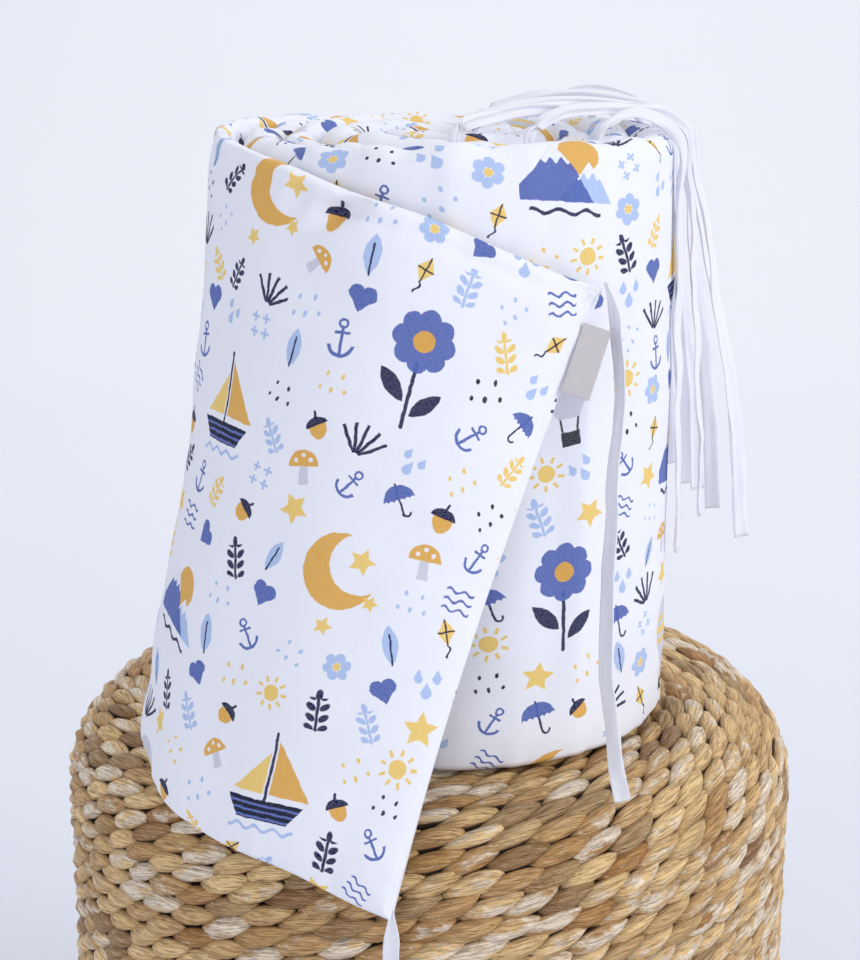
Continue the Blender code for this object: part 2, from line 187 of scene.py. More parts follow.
# The band's mesh: rows where its faces curve in to a seam, rows between them, and the width of its columns in
# the inner turns, the outermost turn and the loose end.
SEAM_ROWS = 16
MIDDLE_ROWS = 31
INNER_COLUMN, OUTER_COLUMN, LOOSE_COLUMN = 0.005, 0.003, 0.002
STAND_OFF = 0.0004  # between the band's foot and the pouffe
BACK_START = 3.0  # where the inner face's cloth starts, past the outer face's, in the print's own coordinates

# The print's repeat in millimetres: 4 by 5 small places, of which a large motif takes 2 by 3.
REPEAT_WIDTH, REPEAT_HEIGHT = 90, 100
PLACE_WIDTH, PLACE_HEIGHT = 22.5, 20


def settings():
    return bpy.context.scene.bumper_settings


def deselect_all():
    if bpy.context.mode != "OBJECT":
        bpy.ops.object.mode_set(mode="OBJECT")
    bpy.ops.object.select_all(action="DESELECT")


def pick_up(made):
    """Selects one object alone and makes it the active one."""
    deselect_all()
    made.select_set(True)
    bpy.context.view_layer.objects.active = made


def piece_from(name, points, faces, finish, uvs=None):
    """A new mesh object at the origin, smooth shaded. uvs holds one pair for each face corner."""
    mesh = bpy.data.meshes.new(name)
    mesh.from_pydata([tuple(p) for p in points], [], [tuple(f) for f in faces])
    mesh.materials.append(finish)
    if uvs is not None:
        layer = mesh.uv_layers.new(name="cloth")
        layer.data.foreach_set("uv", np.asarray(uvs, np.float32).ravel())
    mesh.shade_smooth()
    mesh.update()
    made = bpy.data.objects.new(name, mesh)
    bpy.context.scene.collection.objects.link(made)
    return made


def face_outwards(made):
    """Turns every face of a closed piece outwards."""
    pick_up(made)
    bpy.ops.object.mode_set(mode="EDIT")
    bpy.ops.mesh.select_all(action="SELECT")
    bpy.ops.mesh.normals_make_consistent(inside=False)
    bpy.ops.object.mode_set(mode="OBJECT")


# ---------------------------------------------------------------- smooth lines and soft waves


def slopes(stations, values):
    """The slope at each station, weighed between the spans on its two sides."""
    span = np.diff(stations)[:, None]
    chord = np.diff(values, axis=0) / span
    inner = (chord[:-1] * span[1:] + chord[1:] * span[:-1]) / (span[1:] + span[:-1])
    return np.vstack([chord[:1], inner, chord[-1:]])


def smooth_values(stations, values, places):
    """Values at the places, on the smooth curve that takes each value at its station."""
    stations = np.asarray(stations, float)
    values = np.asarray(values, float).reshape(len(stations), -1)
    lean = slopes(stations, values)
    i = np.clip(np.searchsorted(stations, places, side="left") - 1, 0, len(stations) - 2)
    span = (stations[i + 1] - stations[i])[:, None]
    t = (np.asarray(places)[:, None] - stations[i][:, None]) / span
    leave = lean[i] * span
    arrive = lean[i + 1] * span
    rise = values[i + 1] - values[i]
    square, cube = 3 * rise - 2 * leave - arrive, leave + arrive - 2 * rise
    return values[i] + leave * t + square * t**2 + cube * t**3


def stations_of(points):
    points = np.asarray(points, float)
    return np.concatenate([[0.0], np.cumsum(np.linalg.norm(np.diff(points, axis=0), axis=1))])


def ease(x):
    x = np.clip(x, 0.0, 1.0)
    return x * x * (3 - 2 * x)


def unit(vectors):
    return vectors / np.maximum(np.linalg.norm(vectors, axis=-1, keepdims=True), 1e-12)


def waves(u, v, seed, longest, shortest, count=7):
    """Soft uneven waves over a cloth, about -1 to 1. Lengths are in metres."""
    chance = np.random.default_rng(seed)
    total = np.zeros(np.broadcast(u, v).shape)
    for k in range(count):
        length = longest * (shortest / longest) ** (k / max(count - 1, 1))
        way = chance.uniform(0, math.pi)
        start = chance.uniform(0, 2 * math.pi)
        size = (length / longest) ** 0.6
        total += size * np.sin(2 * math.pi * (u * math.cos(way) + v * math.sin(way)) / length + start)
    return total / math.sqrt(count)


def wander(u, seed, longest, shortest, count):
    """The same waves along one direction only."""
    return waves(u, 0 * u, seed, longest, shortest, count)


# ---------------------------------------------------------------- the camera and the stage


class BUMPER_OT_camera(bpy.types.Operator):
    """Sets the camera at the viewing angle of the product shot"""

    bl_idname = "bumper.camera"
    bl_label = "Camera"

    def execute(self, context):
        deselect_all()
        bpy.ops.object.camera_add(location=CAMERA_PLACE, rotation=(math.radians(90 - CAMERA_PITCH), 0, 0))
        camera = context.object
        camera.name = "camera"
        camera.data.lens = CAMERA_LENS
        camera.data.sensor_width = CAMERA_SENSOR
        camera.data.dof.use_dof = False
        context.scene.camera = camera
        return {"FINISHED"}


# ---------------------------------------------------------------- ties


def tape_line(name, route):
    """Points close together along a tie's route, from its hidden start, and their distances along it."""
    route = np.array(route)
    tuck = CORNER_TUCK.get(name, BUNDLE_TUCK)
    if tuck:
        route = np.vstack([route[0] + (0.0, 0.0, tuck), route])
    stations = stations_of(route)
    places = np.linspace(0, stations[-1], int(stations[-1] / TAPE_ROW))
    return smooth_values(stations, route, places), places


def tape_mesh(name, route, turns, finish):
    """A woven tape along a route: slightly cupped, with wavering edges and a turned-up end."""
    width, thickness = settings().tape_width, settings().tape_thickness
    line, places = tape_line(name, route)
    length = places[-1]
    rows = len(places)
    tangents = unit(np.gradient(line, axis=0))
    share = places / length
    turns = np.array(turns)
    turn, lift = np.radians(smooth_values(turns[:, 0], turns[:, 1:], share)).T
    side = np.stack([np.cos(turn) * np.cos(lift), np.sin(turn) * np.cos(lift), np.sin(lift)], 1)
    side = unit(side - (side * tangents).sum(1, keepdims=True) * tangents)
    face = np.cross(tangents, side)
    seed = sum(map(ord, name))
    drift = wander(places, seed, 0.08, 0.025, 4) * 0.0009 * ease(places / 0.02)
    line = line + face * drift[:, None]
    cup = 0.0009 * wander(places, seed + 1, 0.07, 0.018, 4) + 0.0004
    # Where it lies bunched on the roll, the tape is folded along its length. Its sewn start is gathered.
    bunched = TIE_FOLD[name] * (1 - 0.8 * ease((share - 0.3) / 0.3))
    fold = bunched * (0.0011 + 0.0004 * wander(places, seed + 5, 0.05, 0.02, 4))
    phase = 2.2 * wander(places, seed + 6, 0.16, 0.05, 4)
    least = 0.3 if name in CORNER_TUCK else 0.65
    gather = least + (1 - least) * ease(places / 0.016)
    narrow = gather * (1 - 0.22 * bunched)
    columns = np.linspace(-1, 1, TAPE_COLUMNS)
    grid = []
    for layer in (1, -1):
        for x in columns:
            edge = 1 + 0.02 * wander(places, seed + 2 + (x > 0), 0.03, 0.008, 4)
            bulk = 0.5 * thickness * (1.0 - 0.35 * abs(x) ** 6)
            bulk = bulk * np.where(places > length - 0.006, 1.5, 1.0)
            offset = cup * (x * x - 0.4) + fold * np.sin(4.4 * x + phase) + layer * bulk
            grid.append(line + side * (0.5 * width * x * edge * narrow)[:, None] + face * offset[:, None])
    grid = np.stack(grid, 1)
    count = 2 * TAPE_COLUMNS
    around = list(range(TAPE_COLUMNS)) + list(range(count - 1, TAPE_COLUMNS - 1, -1))
    points = grid[:, around].reshape(-1, 3)
    across = np.concatenate([columns, columns[::-1]]) * 0.5 * width
    faces = []
    for i in range(rows - 1):
        for j in range(count):
            k = (j + 1) % count
            faces.append((i * count + j, i * count + k, (i + 1) * count + k, (i + 1) * count + j))
    faces.append(list(range(count - 1, -1, -1)))
    faces.append([(rows - 1) * count + j for j in range(count)])
    uvs = [(across[corner % count], places[corner // count]) for face in faces for corner in face]
    made = piece_from(name + "_tape", points, faces, finish, uvs)
    face_outwards(made)
    return made, line


class BUMPER_OT_ties(bpy.types.Operator):
    """Makes the cotton ties, each a flat limp tape with a free square-cut end"""

    bl_idname = "bumper.ties"
    bl_label = "Ties"

    def execute(self, context):
        finish = tape_cotton()
        for name, route in TIE_ROUTES.items():
            made, line = tape_mesh(name, route, TIE_TURNS[name], finish)
            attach(made, BODY)
            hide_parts(name)
        return {"FINISHED"}


# ---------------------------------------------------------------- the padded band


def seam_rows(depth, foot_depth):
    """Heights across the band, close together where its two faces curve in to their seams."""
    swing = 1 - np.cos(np.linspace(0, math.pi / 2, SEAM_ROWS))
    low = foot_depth * swing
    high = BAND_HEIGHT - depth * swing[::-1]
    return np.concatenate([low, np.linspace(low[-1], high[0], MIDDLE_ROWS + 2)[1:-1], high])


def rounded(near):
    """A quarter round: 0 at a seam, and 1 where the faces run level."""
    near = np.clip(near, 0, 1)
    return np.sqrt(np.maximum(1 - (1 - near) ** 2, 0))


def spiral():
    """Degrees from the line where the loose end leaves, and the distance along the wound band there."""
    past = np.linspace(-360.0 * TURNS, 0, 4000)
    turn = np.radians(past)
    middle = ROLL_RADIUS - TURN_PITCH / 2
    pitch = TURN_PITCH / (2 * math.pi)
    return past, middle * turn + 0.5 * pitch * turn**2


def turn_edge(past):
    """Outer radius of the wound band, with the slight wander of a hand-made roll."""
    drift = 0.0011 * np.sin(np.radians(past * 2.3 + 40)) + 0.0006 * np.sin(np.radians(past * 5.1))
    calm = ease((-150 - past) / 200)
    return ROLL_RADIUS + TURN_PITCH * past / 360 + drift * calm


def crest_drop(past):
    """How far a turn's crest stands above or below the band's height."""
    slow = np.sin(np.radians(1.31 * past + 20))
    quick = np.sin(np.radians(2.9 * past + 75))
    return CREST_LIFT * (0.7 * slow + 0.3 * quick)


def corners(values):
    """The values at each quad's four corners, from a grid of columns whose rows run once round the band."""
    ahead = np.roll(values, -1, axis=1)
    return np.stack([values[:-1], values[1:], ahead[1:], ahead[:-1]], -1)


class Band:
    """Where each point of the bumper's two faces lies, wound and loose, in arrays of columns and rows."""

    def __init__(self):
        self.length = LOOSE_SECTIONS[-1][0]
        self.seam = self.length - SEAM_SET_IN
        past, run = spiral()
        inner = np.arange(run[0], -OUTER_TURN, INNER_COLUMN)
        outer = np.linspace(-OUTER_TURN, 0.0, int(OUTER_TURN / OUTER_COLUMN))
        loose = np.linspace(0.0, self.length, int(self.length / LOOSE_COLUMN))[1:]
        loose = loose[loose < self.seam - 0.003]
        # Columns crowd at the end seam and at the free edge.
        seam = self.seam + np.array((-0.0018, -0.0007, 0.0, 0.0007))
        edge = self.length - np.array((0.0008, 0.0002, 0.0))
        self.along = np.concatenate([inner, outer[1:], loose, seam, edge])
        self.seam_column = int(np.argmin(abs(self.along - self.seam)))
        self.past = np.interp(np.minimum(self.along, 0.0), run, past)
        self.leaving = ease((self.past + 25) / 25)

    def heights(self):
        """Each column's rows, and how deep the faces curve in at the seam that is nearer."""
        widen = ease(self.along / 0.06)
        depth = 0.012 + 0.014 * widen
        foot_depth = 0.0055 + 0.0205 * widen
        rows = np.stack([seam_rows(high, low) for high, low in zip(depth, foot_depth)])
        return rows, np.where(rows < BAND_HEIGHT / 2, foot_depth[:, None], depth[:, None])

    def wound_part(self, rows):
        """The band's middle on its spiral, the way out from the roll's axis, and half its thickness."""
        past, leaving = self.past, self.leaving
        outside = turn_edge(past)
        inside = np.maximum(turn_edge(past - 360), 0.0008)
        middle = 0.5 * (outside + inside)
        middle = middle + (LEAVING_RADIUS - (ROLL_RADIUS - TURN_PITCH / 2)) * leaving
        half = 0.5 * (outside - inside) * (1 - leaving) + LOOSE_HALF * leaving
        angle = np.radians(LOOSE_ANGLE + past)
        ray = np.stack([np.cos(angle), np.sin(angle), 0 * angle], 1)
        centre = np.zeros(rows.shape + (3,))
        centre[..., 0] = (ROLL_AXIS[0] + middle * ray[:, 0])[:, None]
        centre[..., 1] = (ROLL_AXIS[1] + middle * ray[:, 1])[:, None]
        lift = (crest_drop(past) * (1 - leaving))[:, None] * (rows / BAND_HEIGHT) ** 8
        centre[..., 2] = POUFFE_TOP + STAND_OFF + rows * (BAND_HEIGHT - STAND_OFF) / BAND_HEIGHT + lift
        # The crests are crumpled: they sag here and there, and they sway in and out.
        crest = ((1 - leaving)[:, None]) * (rows / BAND_HEIGHT) ** 20
        sag = 0.0014 * (1 + wander(self.along, 41, 0.050, 0.012, 6))[:, None]
        sway = 0.0026 * wander(self.along, 43, 0.070, 0.016, 5)[:, None]
        centre[..., 2] -= np.clip(sag, 0, 0.0040) * crest
        centre[..., :2] += (sway * crest**2)[..., None] * ray[:, None, :2]
        return centre, np.repeat(ray[:, None, :], rows.shape[1], 1), half

    def loose_part(self, rows):
        """The loose end's middle, ruled between its edges, the way out of it, and the distance along it."""
        loose = self.along > 0
        places = self.along[loose]
        share = rows[loose] / BAND_HEIGHT
        sections = np.array(LOOSE_SECTIONS)
        sections[:, [3, 6]] += POUFFE_TOP
        bow = EDGE_BOW * np.sin(math.pi * np.clip(share, 0, 1)) ** 0.8
        drawn = places[:, None] - bow * (places[:, None] / self.length) ** 3
        edges = smooth_values(sections[:, 0], sections[:, 1:], drawn.ravel()).reshape(drawn.shape + (6,))
        low, top = edges[..., :3], edges[..., 3:]
        sheet = low + (top - low) * share[..., None]
        run = unit(np.gradient(sheet, places, axis=0))
        return sheet, unit(np.cross(run, unit(top - low))), drawn

    def grid(self):
        """The band's middle, the way out, half its thickness, its rows, and the cloth's own coordinates."""
        rows, depth = self.heights()
        loose = self.along > 0
        centre, out, half = self.wound_part(rows)
        cloth_u = np.repeat(self.along[:, None], rows.shape[1], 1)
        centre[loose], out[loose], cloth_u[loose] = self.loose_part(rows)
        half = np.where(loose, LOOSE_HALF, half)[:, None]
        # The faces curve in to the seams along the top, the bottom and the free end.
        near = rounded(np.minimum(rows, BAND_HEIGHT - rows) / depth)
        near_end = rounded(np.maximum(self.length - self.along, 0)[:, None] / 0.026)
        blunt = (0.07 + 0.23 * ease(self.along / 0.08))[:, None]
        body = blunt + (1 - blunt) * near
        end = blunt + (1 - blunt) * near_end
        # The cloth itself is longer than the band's height where it curves in to the seams.
        step = np.sqrt(np.diff(rows, axis=1) ** 2 + np.diff(half * near, axis=1) ** 2)
        total = np.concatenate([np.zeros((len(rows), 1)), np.cumsum(step, axis=1)], 1)
        middle = slice(total.shape[1] // 2, total.shape[1] // 2 + 1)
        cloth_v = total - total[:, middle] + rows[:, middle]
        return centre, out, half * np.minimum(body, end), rows, cloth_u, cloth_v

    def two_faces(self):
        """Points of the outer and the inner face, and the cloth's own coordinates."""
        centre, out, thick, rows, cloth_u, cloth_v = self.grid()
        along = np.repeat(self.along[:, None], rows.shape[1], 1)
        to_seam = np.minimum(rows, BAND_HEIGHT - rows)
        shown = ease((along + 0.80) / 0.05)
        crown = 0.0012 * np.sin(math.pi * rows / BAND_HEIGHT) * shown * (1 - ease(along / 0.03))
        relief = cloth_relief(along, rows, to_seam, self.seam) * (0.35 + 0.65 * shown)
        relief = relief + dents(along, rows)
        fade = np.clip(to_seam / 0.002, 0, 1) * 0.7 + 0.3
        back = 0.0005 * waves(along, rows, 21, 0.09, 0.03, 6) * ease(along / 0.03)
        outer = centre + out * (thick + crown + relief * fade)[..., None]
        inner = centre - out * (thick + back)[..., None]
        return outer, inner, cloth_u, cloth_v

    def sewn(self):
        """Both faces as one closed shape: points, faces, and the cloth's place at each face corner."""
        outer, inner, cloth_u, cloth_v = self.two_faces()
        columns, count = cloth_v.shape
        around = 2 * count
        points = np.concatenate([outer, inner[:, ::-1]], 1).reshape(-1, 3)
        index = np.arange(columns * around).reshape(columns, around)
        u = corners(np.concatenate([cloth_u, BACK_START - cloth_u[:, ::-1]], 1))
        v = corners(np.concatenate([cloth_v, cloth_v[:, ::-1]], 1))
        # Past the end seam, the back's cloth comes round to the front.
        u[self.seam_column :, : count - 1] += BACK_START - 2 * self.length
        # The strip between the two faces takes its print from the face it starts on.
        for strip in (count - 1, around - 1):
            u[:, strip, 2:] = u[:, strip, 1::-1]
            v[:, strip, 2:] = v[:, strip, 1::-1]
        faces = corners(index).reshape(-1, 4).tolist()
        uvs = np.stack([u, v], -1).reshape(-1, 2).tolist()
        for column, way in ((0, 1), (columns - 1, -1)):
            for row in range(count - 1):
                quad = [int(index[column, k]) for k in (row, row + 1, around - 2 - row, around - 1 - row)]
                x, low, high = cloth_u[column, row], cloth_v[column, row], cloth_v[column, row + 1]
                place = [(x, low), (x, high), (x + 0.003, high), (x + 0.003, low)]
                faces.append(quad[::way])
                uvs += place[::way]
        return points, faces, uvs


def cloth_relief(along, rows, to_seam, seam):
    """How far the outer cloth stands out of its plain form, in puckers, soft folds and the end seam."""
    puckers = 0.0009 * np.exp(-to_seam / 0.009) * waves(along, 0.3 * rows, 11, 0.024, 0.0085, 5)
    lumps = 0.0008 * waves(along, rows, 5, 0.11, 0.03, 8)
    upper = ease((rows - 0.14) / 0.16)
    creases = 0.0007 * upper * waves(along, 0.16 * rows, 29, 0.042, 0.014, 6)
    loose = ease((along - 0.01) / 0.05)
    folds = 0.0014 * loose * waves(along, 0.4 * rows, 8, 0.16, 0.06, 5)
    groove = -0.0004 * np.exp(-(((along - seam) / 0.0008) ** 2))
    pulls = 0.0005 * np.exp(-abs(along - seam) / 0.010) * waves(0.4 * along, rows, 17, 0.024, 0.010, 4)
    # Small folds spread from the corner where the upper tie is sewn in.
    x, y = seam - along, BAND_HEIGHT - rows
    out = np.hypot(x, y)
    gathers = 0.0013 * np.exp(-(((out - 0.009) / 0.010) ** 2)) * np.sin(11 * np.arctan2(y, x + 1e-6) + 0.6)
    # The filling stops short of the upper seam, which leaves a soft rim above a hollow.
    uneven = 1 + 0.5 * wander(along, 53, 0.07, 0.02, 5)
    hollow = -0.0011 * np.exp(-(((y - 0.0088) / 0.0030) ** 2)) * uneven
    return puckers + lumps + creases * (1 - loose) + folds + (groove + pulls + gathers + hollow) * loose


# Soft dents pressed into the loose end: along, height, half length, half height, slant in degrees, depth.
DENTS = (
    (0.168, 0.290, 0.015, 0.0060, 35, 0.0085),
    (0.146, 0.286, 0.010, 0.0060, 60, 0.0035),
    (0.150, 0.268, 0.040, 0.012, -25, 0.0026),
    (0.262, 0.262, 0.020, 0.030, 40, 0.0022),
    (0.235, 0.225, 0.034, 0.010, 32, 0.0022),
    (0.075, 0.130, 0.030, 0.060, 5, 0.0030),
    (0.060, 0.210, 0.012, 0.060, 8, 0.0018),
    (0.190, 0.040, 0.050, 0.010, 15, 0.0020),
    (0.120, 0.028, 0.030, 0.010, -10, 0.0020),
)


def dents(along, rows):
    total = np.zeros(along.shape)
    for x, y, long, tall, slant, deep in DENTS:
        turn = math.radians(slant)
        a = ((along - x) * math.cos(turn) + (rows - y) * math.sin(turn)) / long
        b = ((rows - y) * math.cos(turn) - (along - x) * math.sin(turn)) / tall
        total -= deep * np.exp(-(a * a + b * b))
    return total


class BUMPER_OT_band(bpy.types.Operator):
    """Makes the printed band, wound from its middle out to the loose end"""

    bl_idname = "bumper.band"
    bl_label = "Band"

    def execute(self, context):
        points, faces, uvs = Band().sewn()
        made = piece_from("bumper_band", points, faces, printed_cotton(), uvs)
        face_outwards(made)
        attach(made, BODY)
        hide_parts("bumper_roll", "bumper_tail")
        return {"FINISHED"}


# ---------------------------------------------------------------- materials


def plain(rgb):
    """A colour given as it looks on a screen, 0 to 255, as the linear values that a shader takes."""
    steps = [c / 255 for c in rgb]
    return tuple(c / 12.92 if c <= 0.04045 else ((c + 0.055) / 1.055) ** 2.4 for c in steps)


def plug(tree, slot, value):
    """Gives a node's input a wire, another node's output, a number or a colour."""
    if isinstance(value, Wire):
        tree.links.new(value.socket, slot)
    elif isinstance(value, bpy.types.NodeSocket):
        tree.links.new(value, slot)
    elif isinstance(value, (int, float)):
        slot.default_value = value
    else:
        slot.default_value = (*value, 1)


class Wire:
    """A number in a material's node tree. Adding or multiplying wires adds the Math nodes for it."""

    def __init__(self, tree, socket):
        self.tree = tree
        self.socket = socket

    def math(self, kind, *others):
        node = self.tree.nodes.new("ShaderNodeMath")
        node.operation = kind
        for slot, value in zip(node.inputs, (self, *others)):
            plug(self.tree, slot, value)
        return Wire(self.tree, node.outputs[0])

    def __add__(self, other):
        return self.math("ADD", other)

    def __radd__(self, other):
        return self.math("ADD", other)

    def __sub__(self, other):
        return self.math("SUBTRACT", other)

    def __rsub__(self, other):
        return self.math("MULTIPLY_ADD", -1, other)

    def __mul__(self, other):
        return self.math("MULTIPLY", other)

    def __rmul__(self, other):
        return self.math("MULTIPLY", other)

    def __truediv__(self, other):
        return self.math("DIVIDE", other)

    def __neg__(self):
        return self * -1

    def __abs__(self):
        return self.math("ABSOLUTE")

    def floor(self):
        return self.math("FLOOR")

    def sin(self):
        return self.math("SINE")

    def cos(self):
        return self.math("COSINE")

    def modulo(self, step):
        return self.math("FLOORED_MODULO", step)

    def within(self, low, high):
        return self.math("MAXIMUM", low).math("MINIMUM", high)

    def below(self, other):
        return self.math("LESS_THAN", other)


def lower(a, *rest):
    for b in rest:
        a = a.math("MINIMUM", b)
    return a


def higher(a, *rest):
    for b in rest:
        a = a.math("MAXIMUM", b)
    return a


def reach(x, y):
    """Distance of a point from the middle."""
    return (x * x + y * y).math("SQRT")


class Finish:
    """A material and the few kinds of node that its pattern is built from."""

    def __init__(self, name, colour, roughness, sheen=0.0, specular=0.5):
        self.material = bpy.data.materials.new(name)
        self.material.use_nodes = True
        self.tree = self.material.node_tree
        self.shader = self.tree.nodes["Principled BSDF"]
        self.shader.inputs["Base Color"].default_value = (*colour, 1)
        self.shader.inputs["Roughness"].default_value = roughness
        self.shader.inputs["Sheen Weight"].default_value = sheen
        self.shader.inputs["Specular IOR Level"].default_value = specular

    def node(self, kind):
        return self.tree.nodes.new("ShaderNode" + kind)

    def wire(self, socket):
        return Wire(self.tree, socket)

    def parts(self, socket, kind="SeparateXYZ"):
        """The three numbers that a vector or a colour holds."""
        split = self.node(kind)
        self.tree.links.new(socket, split.inputs[0])
        return [self.wire(part) for part in split.outputs]

    def cloth(self):
        """The piece's own cloth coordinates, in metres."""
        node = self.node("UVMap")
        node.uv_map = "cloth"
        return self.parts(node.outputs["UV"])[:2]

    def place(self):
        """Object coordinates, in metres."""
        return self.parts(self.node("TexCoord").outputs["Object"])

    def vector(self, *parts):
        node = self.node("CombineXYZ")
        for slot, value in zip(node.inputs, parts):
            plug(self.tree, slot, value)
        return node.outputs[0]

    def noise_node(self, vector, scale, detail, roughness):
        node = self.node("TexNoise")
        self.tree.links.new(vector, node.inputs["Vector"])
        node.inputs["Scale"].default_value = scale
        node.inputs["Detail"].default_value = detail
        node.inputs["Roughness"].default_value = roughness
        return node

    def noise(self, vector, scale, detail=2.0, roughness=0.5):
        return self.wire(self.noise_node(vector, scale, detail, roughness).outputs["Fac"])

    def noises(self, vector, scale, detail=2.0, roughness=0.5):
        """Three noises that have nothing to do with each other."""
        return self.parts(self.noise_node(vector, scale, detail, roughness).outputs["Color"], "SeparateColor")

    def chance(self, vector):
        """Four numbers from 0 to 1 that differ from one cell to the next."""
        node = self.node("TexWhiteNoise")
        node.noise_dimensions = "3D"
        self.tree.links.new(vector, node.inputs["Vector"])
        return [self.wire(node.outputs["Value"]), *self.parts(node.outputs["Color"], "SeparateColor")]

    def attribute(self, name):
        node = self.node("Attribute")
        node.attribute_name = name
        return self.wire(node.outputs["Fac"])

    def mix(self, share, under, over):
        """One colour over another. Colours are sockets or linear values."""
        node = self.node("Mix")
        node.data_type = "RGBA"
        below, above = [slot for slot in node.inputs if slot.type == "RGBA"]
        for slot, value in ((node.inputs[0], share), (below, under), (above, over)):
            plug(self.tree, slot, value)
        return [slot for slot in node.outputs if slot.type == "RGBA"][0]

    def bump(self, height, distance, strength=1.0, under=None):
        node = self.node("Bump")
        node.inputs["Distance"].default_value = distance
        node.inputs["Strength"].default_value = strength
        plug(self.tree, node.inputs["Height"], height)
        if under is not None:
            plug(self.tree, node.inputs["Normal"], under)
        return node.outputs[0]

    def finish(self, colour, normal=None, roughness=None):
        for name, value in (("Base Color", colour), ("Normal", normal), ("Roughness", roughness)):
            if value is not None:
                plug(self.tree, self.shader.inputs[name], value)
        return self.material


# ---------------------------------------------------------------- the print, in millimetres


def segment(x, y, x1, y1, x2, y2, thick):
    """A rounded stroke from one point to another."""
    dx, dy = x2 - x1, y2 - y1
    px, py = x - x1, y - y1
    t = ((px * dx + py * dy) / (dx * dx + dy * dy)).within(0, 1)
    return reach(px - t * dx, py - t * dy) - thick


def turned(x, y, degrees):
    c, s = math.cos(math.radians(degrees)), math.sin(math.radians(degrees))
    return x * c + y * s, y * c - x * s


def lens(x, y, half_long, half_wide):
    """A pointed leaf along Y."""
    curve = (half_long**2 + half_wide**2) / (2 * half_wide)
    return reach(abs(x) + (curve - half_wide), y) - curve


def spun(x, y, count):
    """The plane folded into one of count equal wedges: distance out, and distance from the wedge's middle."""
    out = reach(x, y)
    angle = y.math("ARCTAN2", x)
    step = 2 * math.pi / count
    folded = angle.math("PINGPONG", step / 2)
    return out * folded.cos(), out * folded.sin()


def star(x, y, size):
    out, across = spun(x, y, 5)
    return out * 0.443 + across * 0.897 - 0.443 * size


def big_moon(x, y):
    moon = higher(reach(x + 1, y - 3) - 17.5, 14.0 - reach(x - 7.5, y - 7.5))
    stars = lower(star(x - 8, y - 9, 6.5), star(x - 15, y + 9, 4.0), star(x + 4, y + 23, 4.5))
    return ((moon, "mustard"), (stars, "lemon"))


def big_flower(x, y):
    out, across = spun(x, y - 12, 8)
    petals = lower(reach(out - 9.5, across) - 4.8, out - 9)
    stem = segment(x, y, 0.0, 2.0, 1.5, -27.0, 0.85)
    left = lens(*turned(x + 8, y + 10, 48), 9, 3.6)
    right = lens(*turned(x - 9, y + 15, -42), 8.5, 3.4)
    eye = reach(x, y - 12) - 4.8
    return ((stem, "navy"), (lower(left, right), "navy"), (petals, "periwinkle"), (eye, "mustard"))


def big_balloon(x, y):
    balloon = lower(reach(x, y - 9) - 16.5, higher(abs(x) * 0.87 - y * 0.5 - 11, -y - 13, y - 3))
    bands = higher(balloon, (y * 0.95).sin() * -1.6 - 0.35, abs(y - 8) - 7)
    basket = higher(abs(x) - 4.6, abs(y + 23) - 3.4)
    ropes = segment(abs(x), y, 3.4, -20.0, 4.6, -12.5, 0.5)
    return ((lower(ropes, basket), "charcoal"), (balloon, "grey"), (bands, "lemon"))


def big_hills(x, y):
    disc = reach(x - 5, y - 9) - 9.5
    left = higher(abs(x + 7) * 0.80 + y * 0.6 - 8.0, -y - 13)
    right = higher(abs(x - 9) * 0.78 + y * 0.62 - 3.0, -y - 13)
    ragged = (x * 1.25).sin() * 1.4
    snow = lower(higher(left, 5.0 - y + ragged), higher(right, -1.5 - y + ragged))
    ground = higher(abs(y + 17.5 + (x * 0.5).sin() * 1.1) - 0.8, abs(x) - 17)
    return ((disc, "mustard"), (right, "sky"), (left, "periwinkle"), (snow, "cotton"), (ground, "navy"))


def big_boat(x, y):
    hull = higher(abs(x) * 0.82 - y * 0.57 - 20.5, y + 9, -y - 18.5)
    planks = higher(hull, 0.45 - abs((y + 8.5).math("PINGPONG", 1.5) - 0.2) * 1.2)
    mast = segment(x, y, 0.0, -9.0, 0.0, 23.0, 0.7)
    front = higher(x * 0.80 + y * 0.6 - 13.0, 1.6 - x, -y - 6)
    back = higher(y * 0.62 - x * 0.78 - 9.5, x + 1.6, -y - 6)
    sea = higher(abs(y + 22.5 + (x * 0.7).sin() * 1.2) - 0.8, abs(x) - 16)
    sails = ((front, "mustard"), (back, "lemon"))
    return ((mast, "navy"), *sails, (hull, "periwinkle"), (planks, "charcoal"), (sea, "sky"))


def sprig(x, y):
    stem = segment(x, y, 0.0, -9.0, 0.0, 6.0, 0.7)
    step = (y + 30).modulo(5.0) - 2.4
    a = abs(x) - 3.1
    leaves = reach((a * 0.77 + step * 0.64) / 1.8, step * 0.77 - a * 0.64) - 1.45
    leaves = higher(leaves, abs(y + 1) - 7.6)
    return lower(stem, leaves, reach(x, (y - 8) / 1.7) - 1.5)


def dots(x, y):
    return lower(
        reach((x + 5) / 0.7, y - 3) - 1.25,
        reach((x - 3) / 0.75, (y - 4.5) / 1.2) - 1.2,
        reach(x / 0.75, (y + 4) / 1.2) - 1.25,
        reach((x - 7) / 0.75, y + 2) - 1.2,
        reach((x + 6) / 0.8, (y + 5) / 1.2) - 1.0,
    )


def tuft(x, y):
    out, across = spun(y + 9, x, 16)
    blades = higher(across - 0.85, out - 17, 2.0 - out, abs(x) * 0.6 - (y + 9) * 0.8)
    return ((blades, "navy"),)


def heart(x, y):
    lobes = reach(abs(x) - 3.1, y - 2.6) - 3.9
    point = higher(abs(x) * 0.75 + y * -0.66 - 4.1, y - 2.4)
    return ((lower(lobes, point), "periwinkle"),)


def sun(x, y):
    out, across = spun(x, y, 9)
    rays = higher(across - 0.75, abs(out - 7.6) - 1.6)
    return ((lower(reach(x, y) - 4.4, rays), "lemon"),)


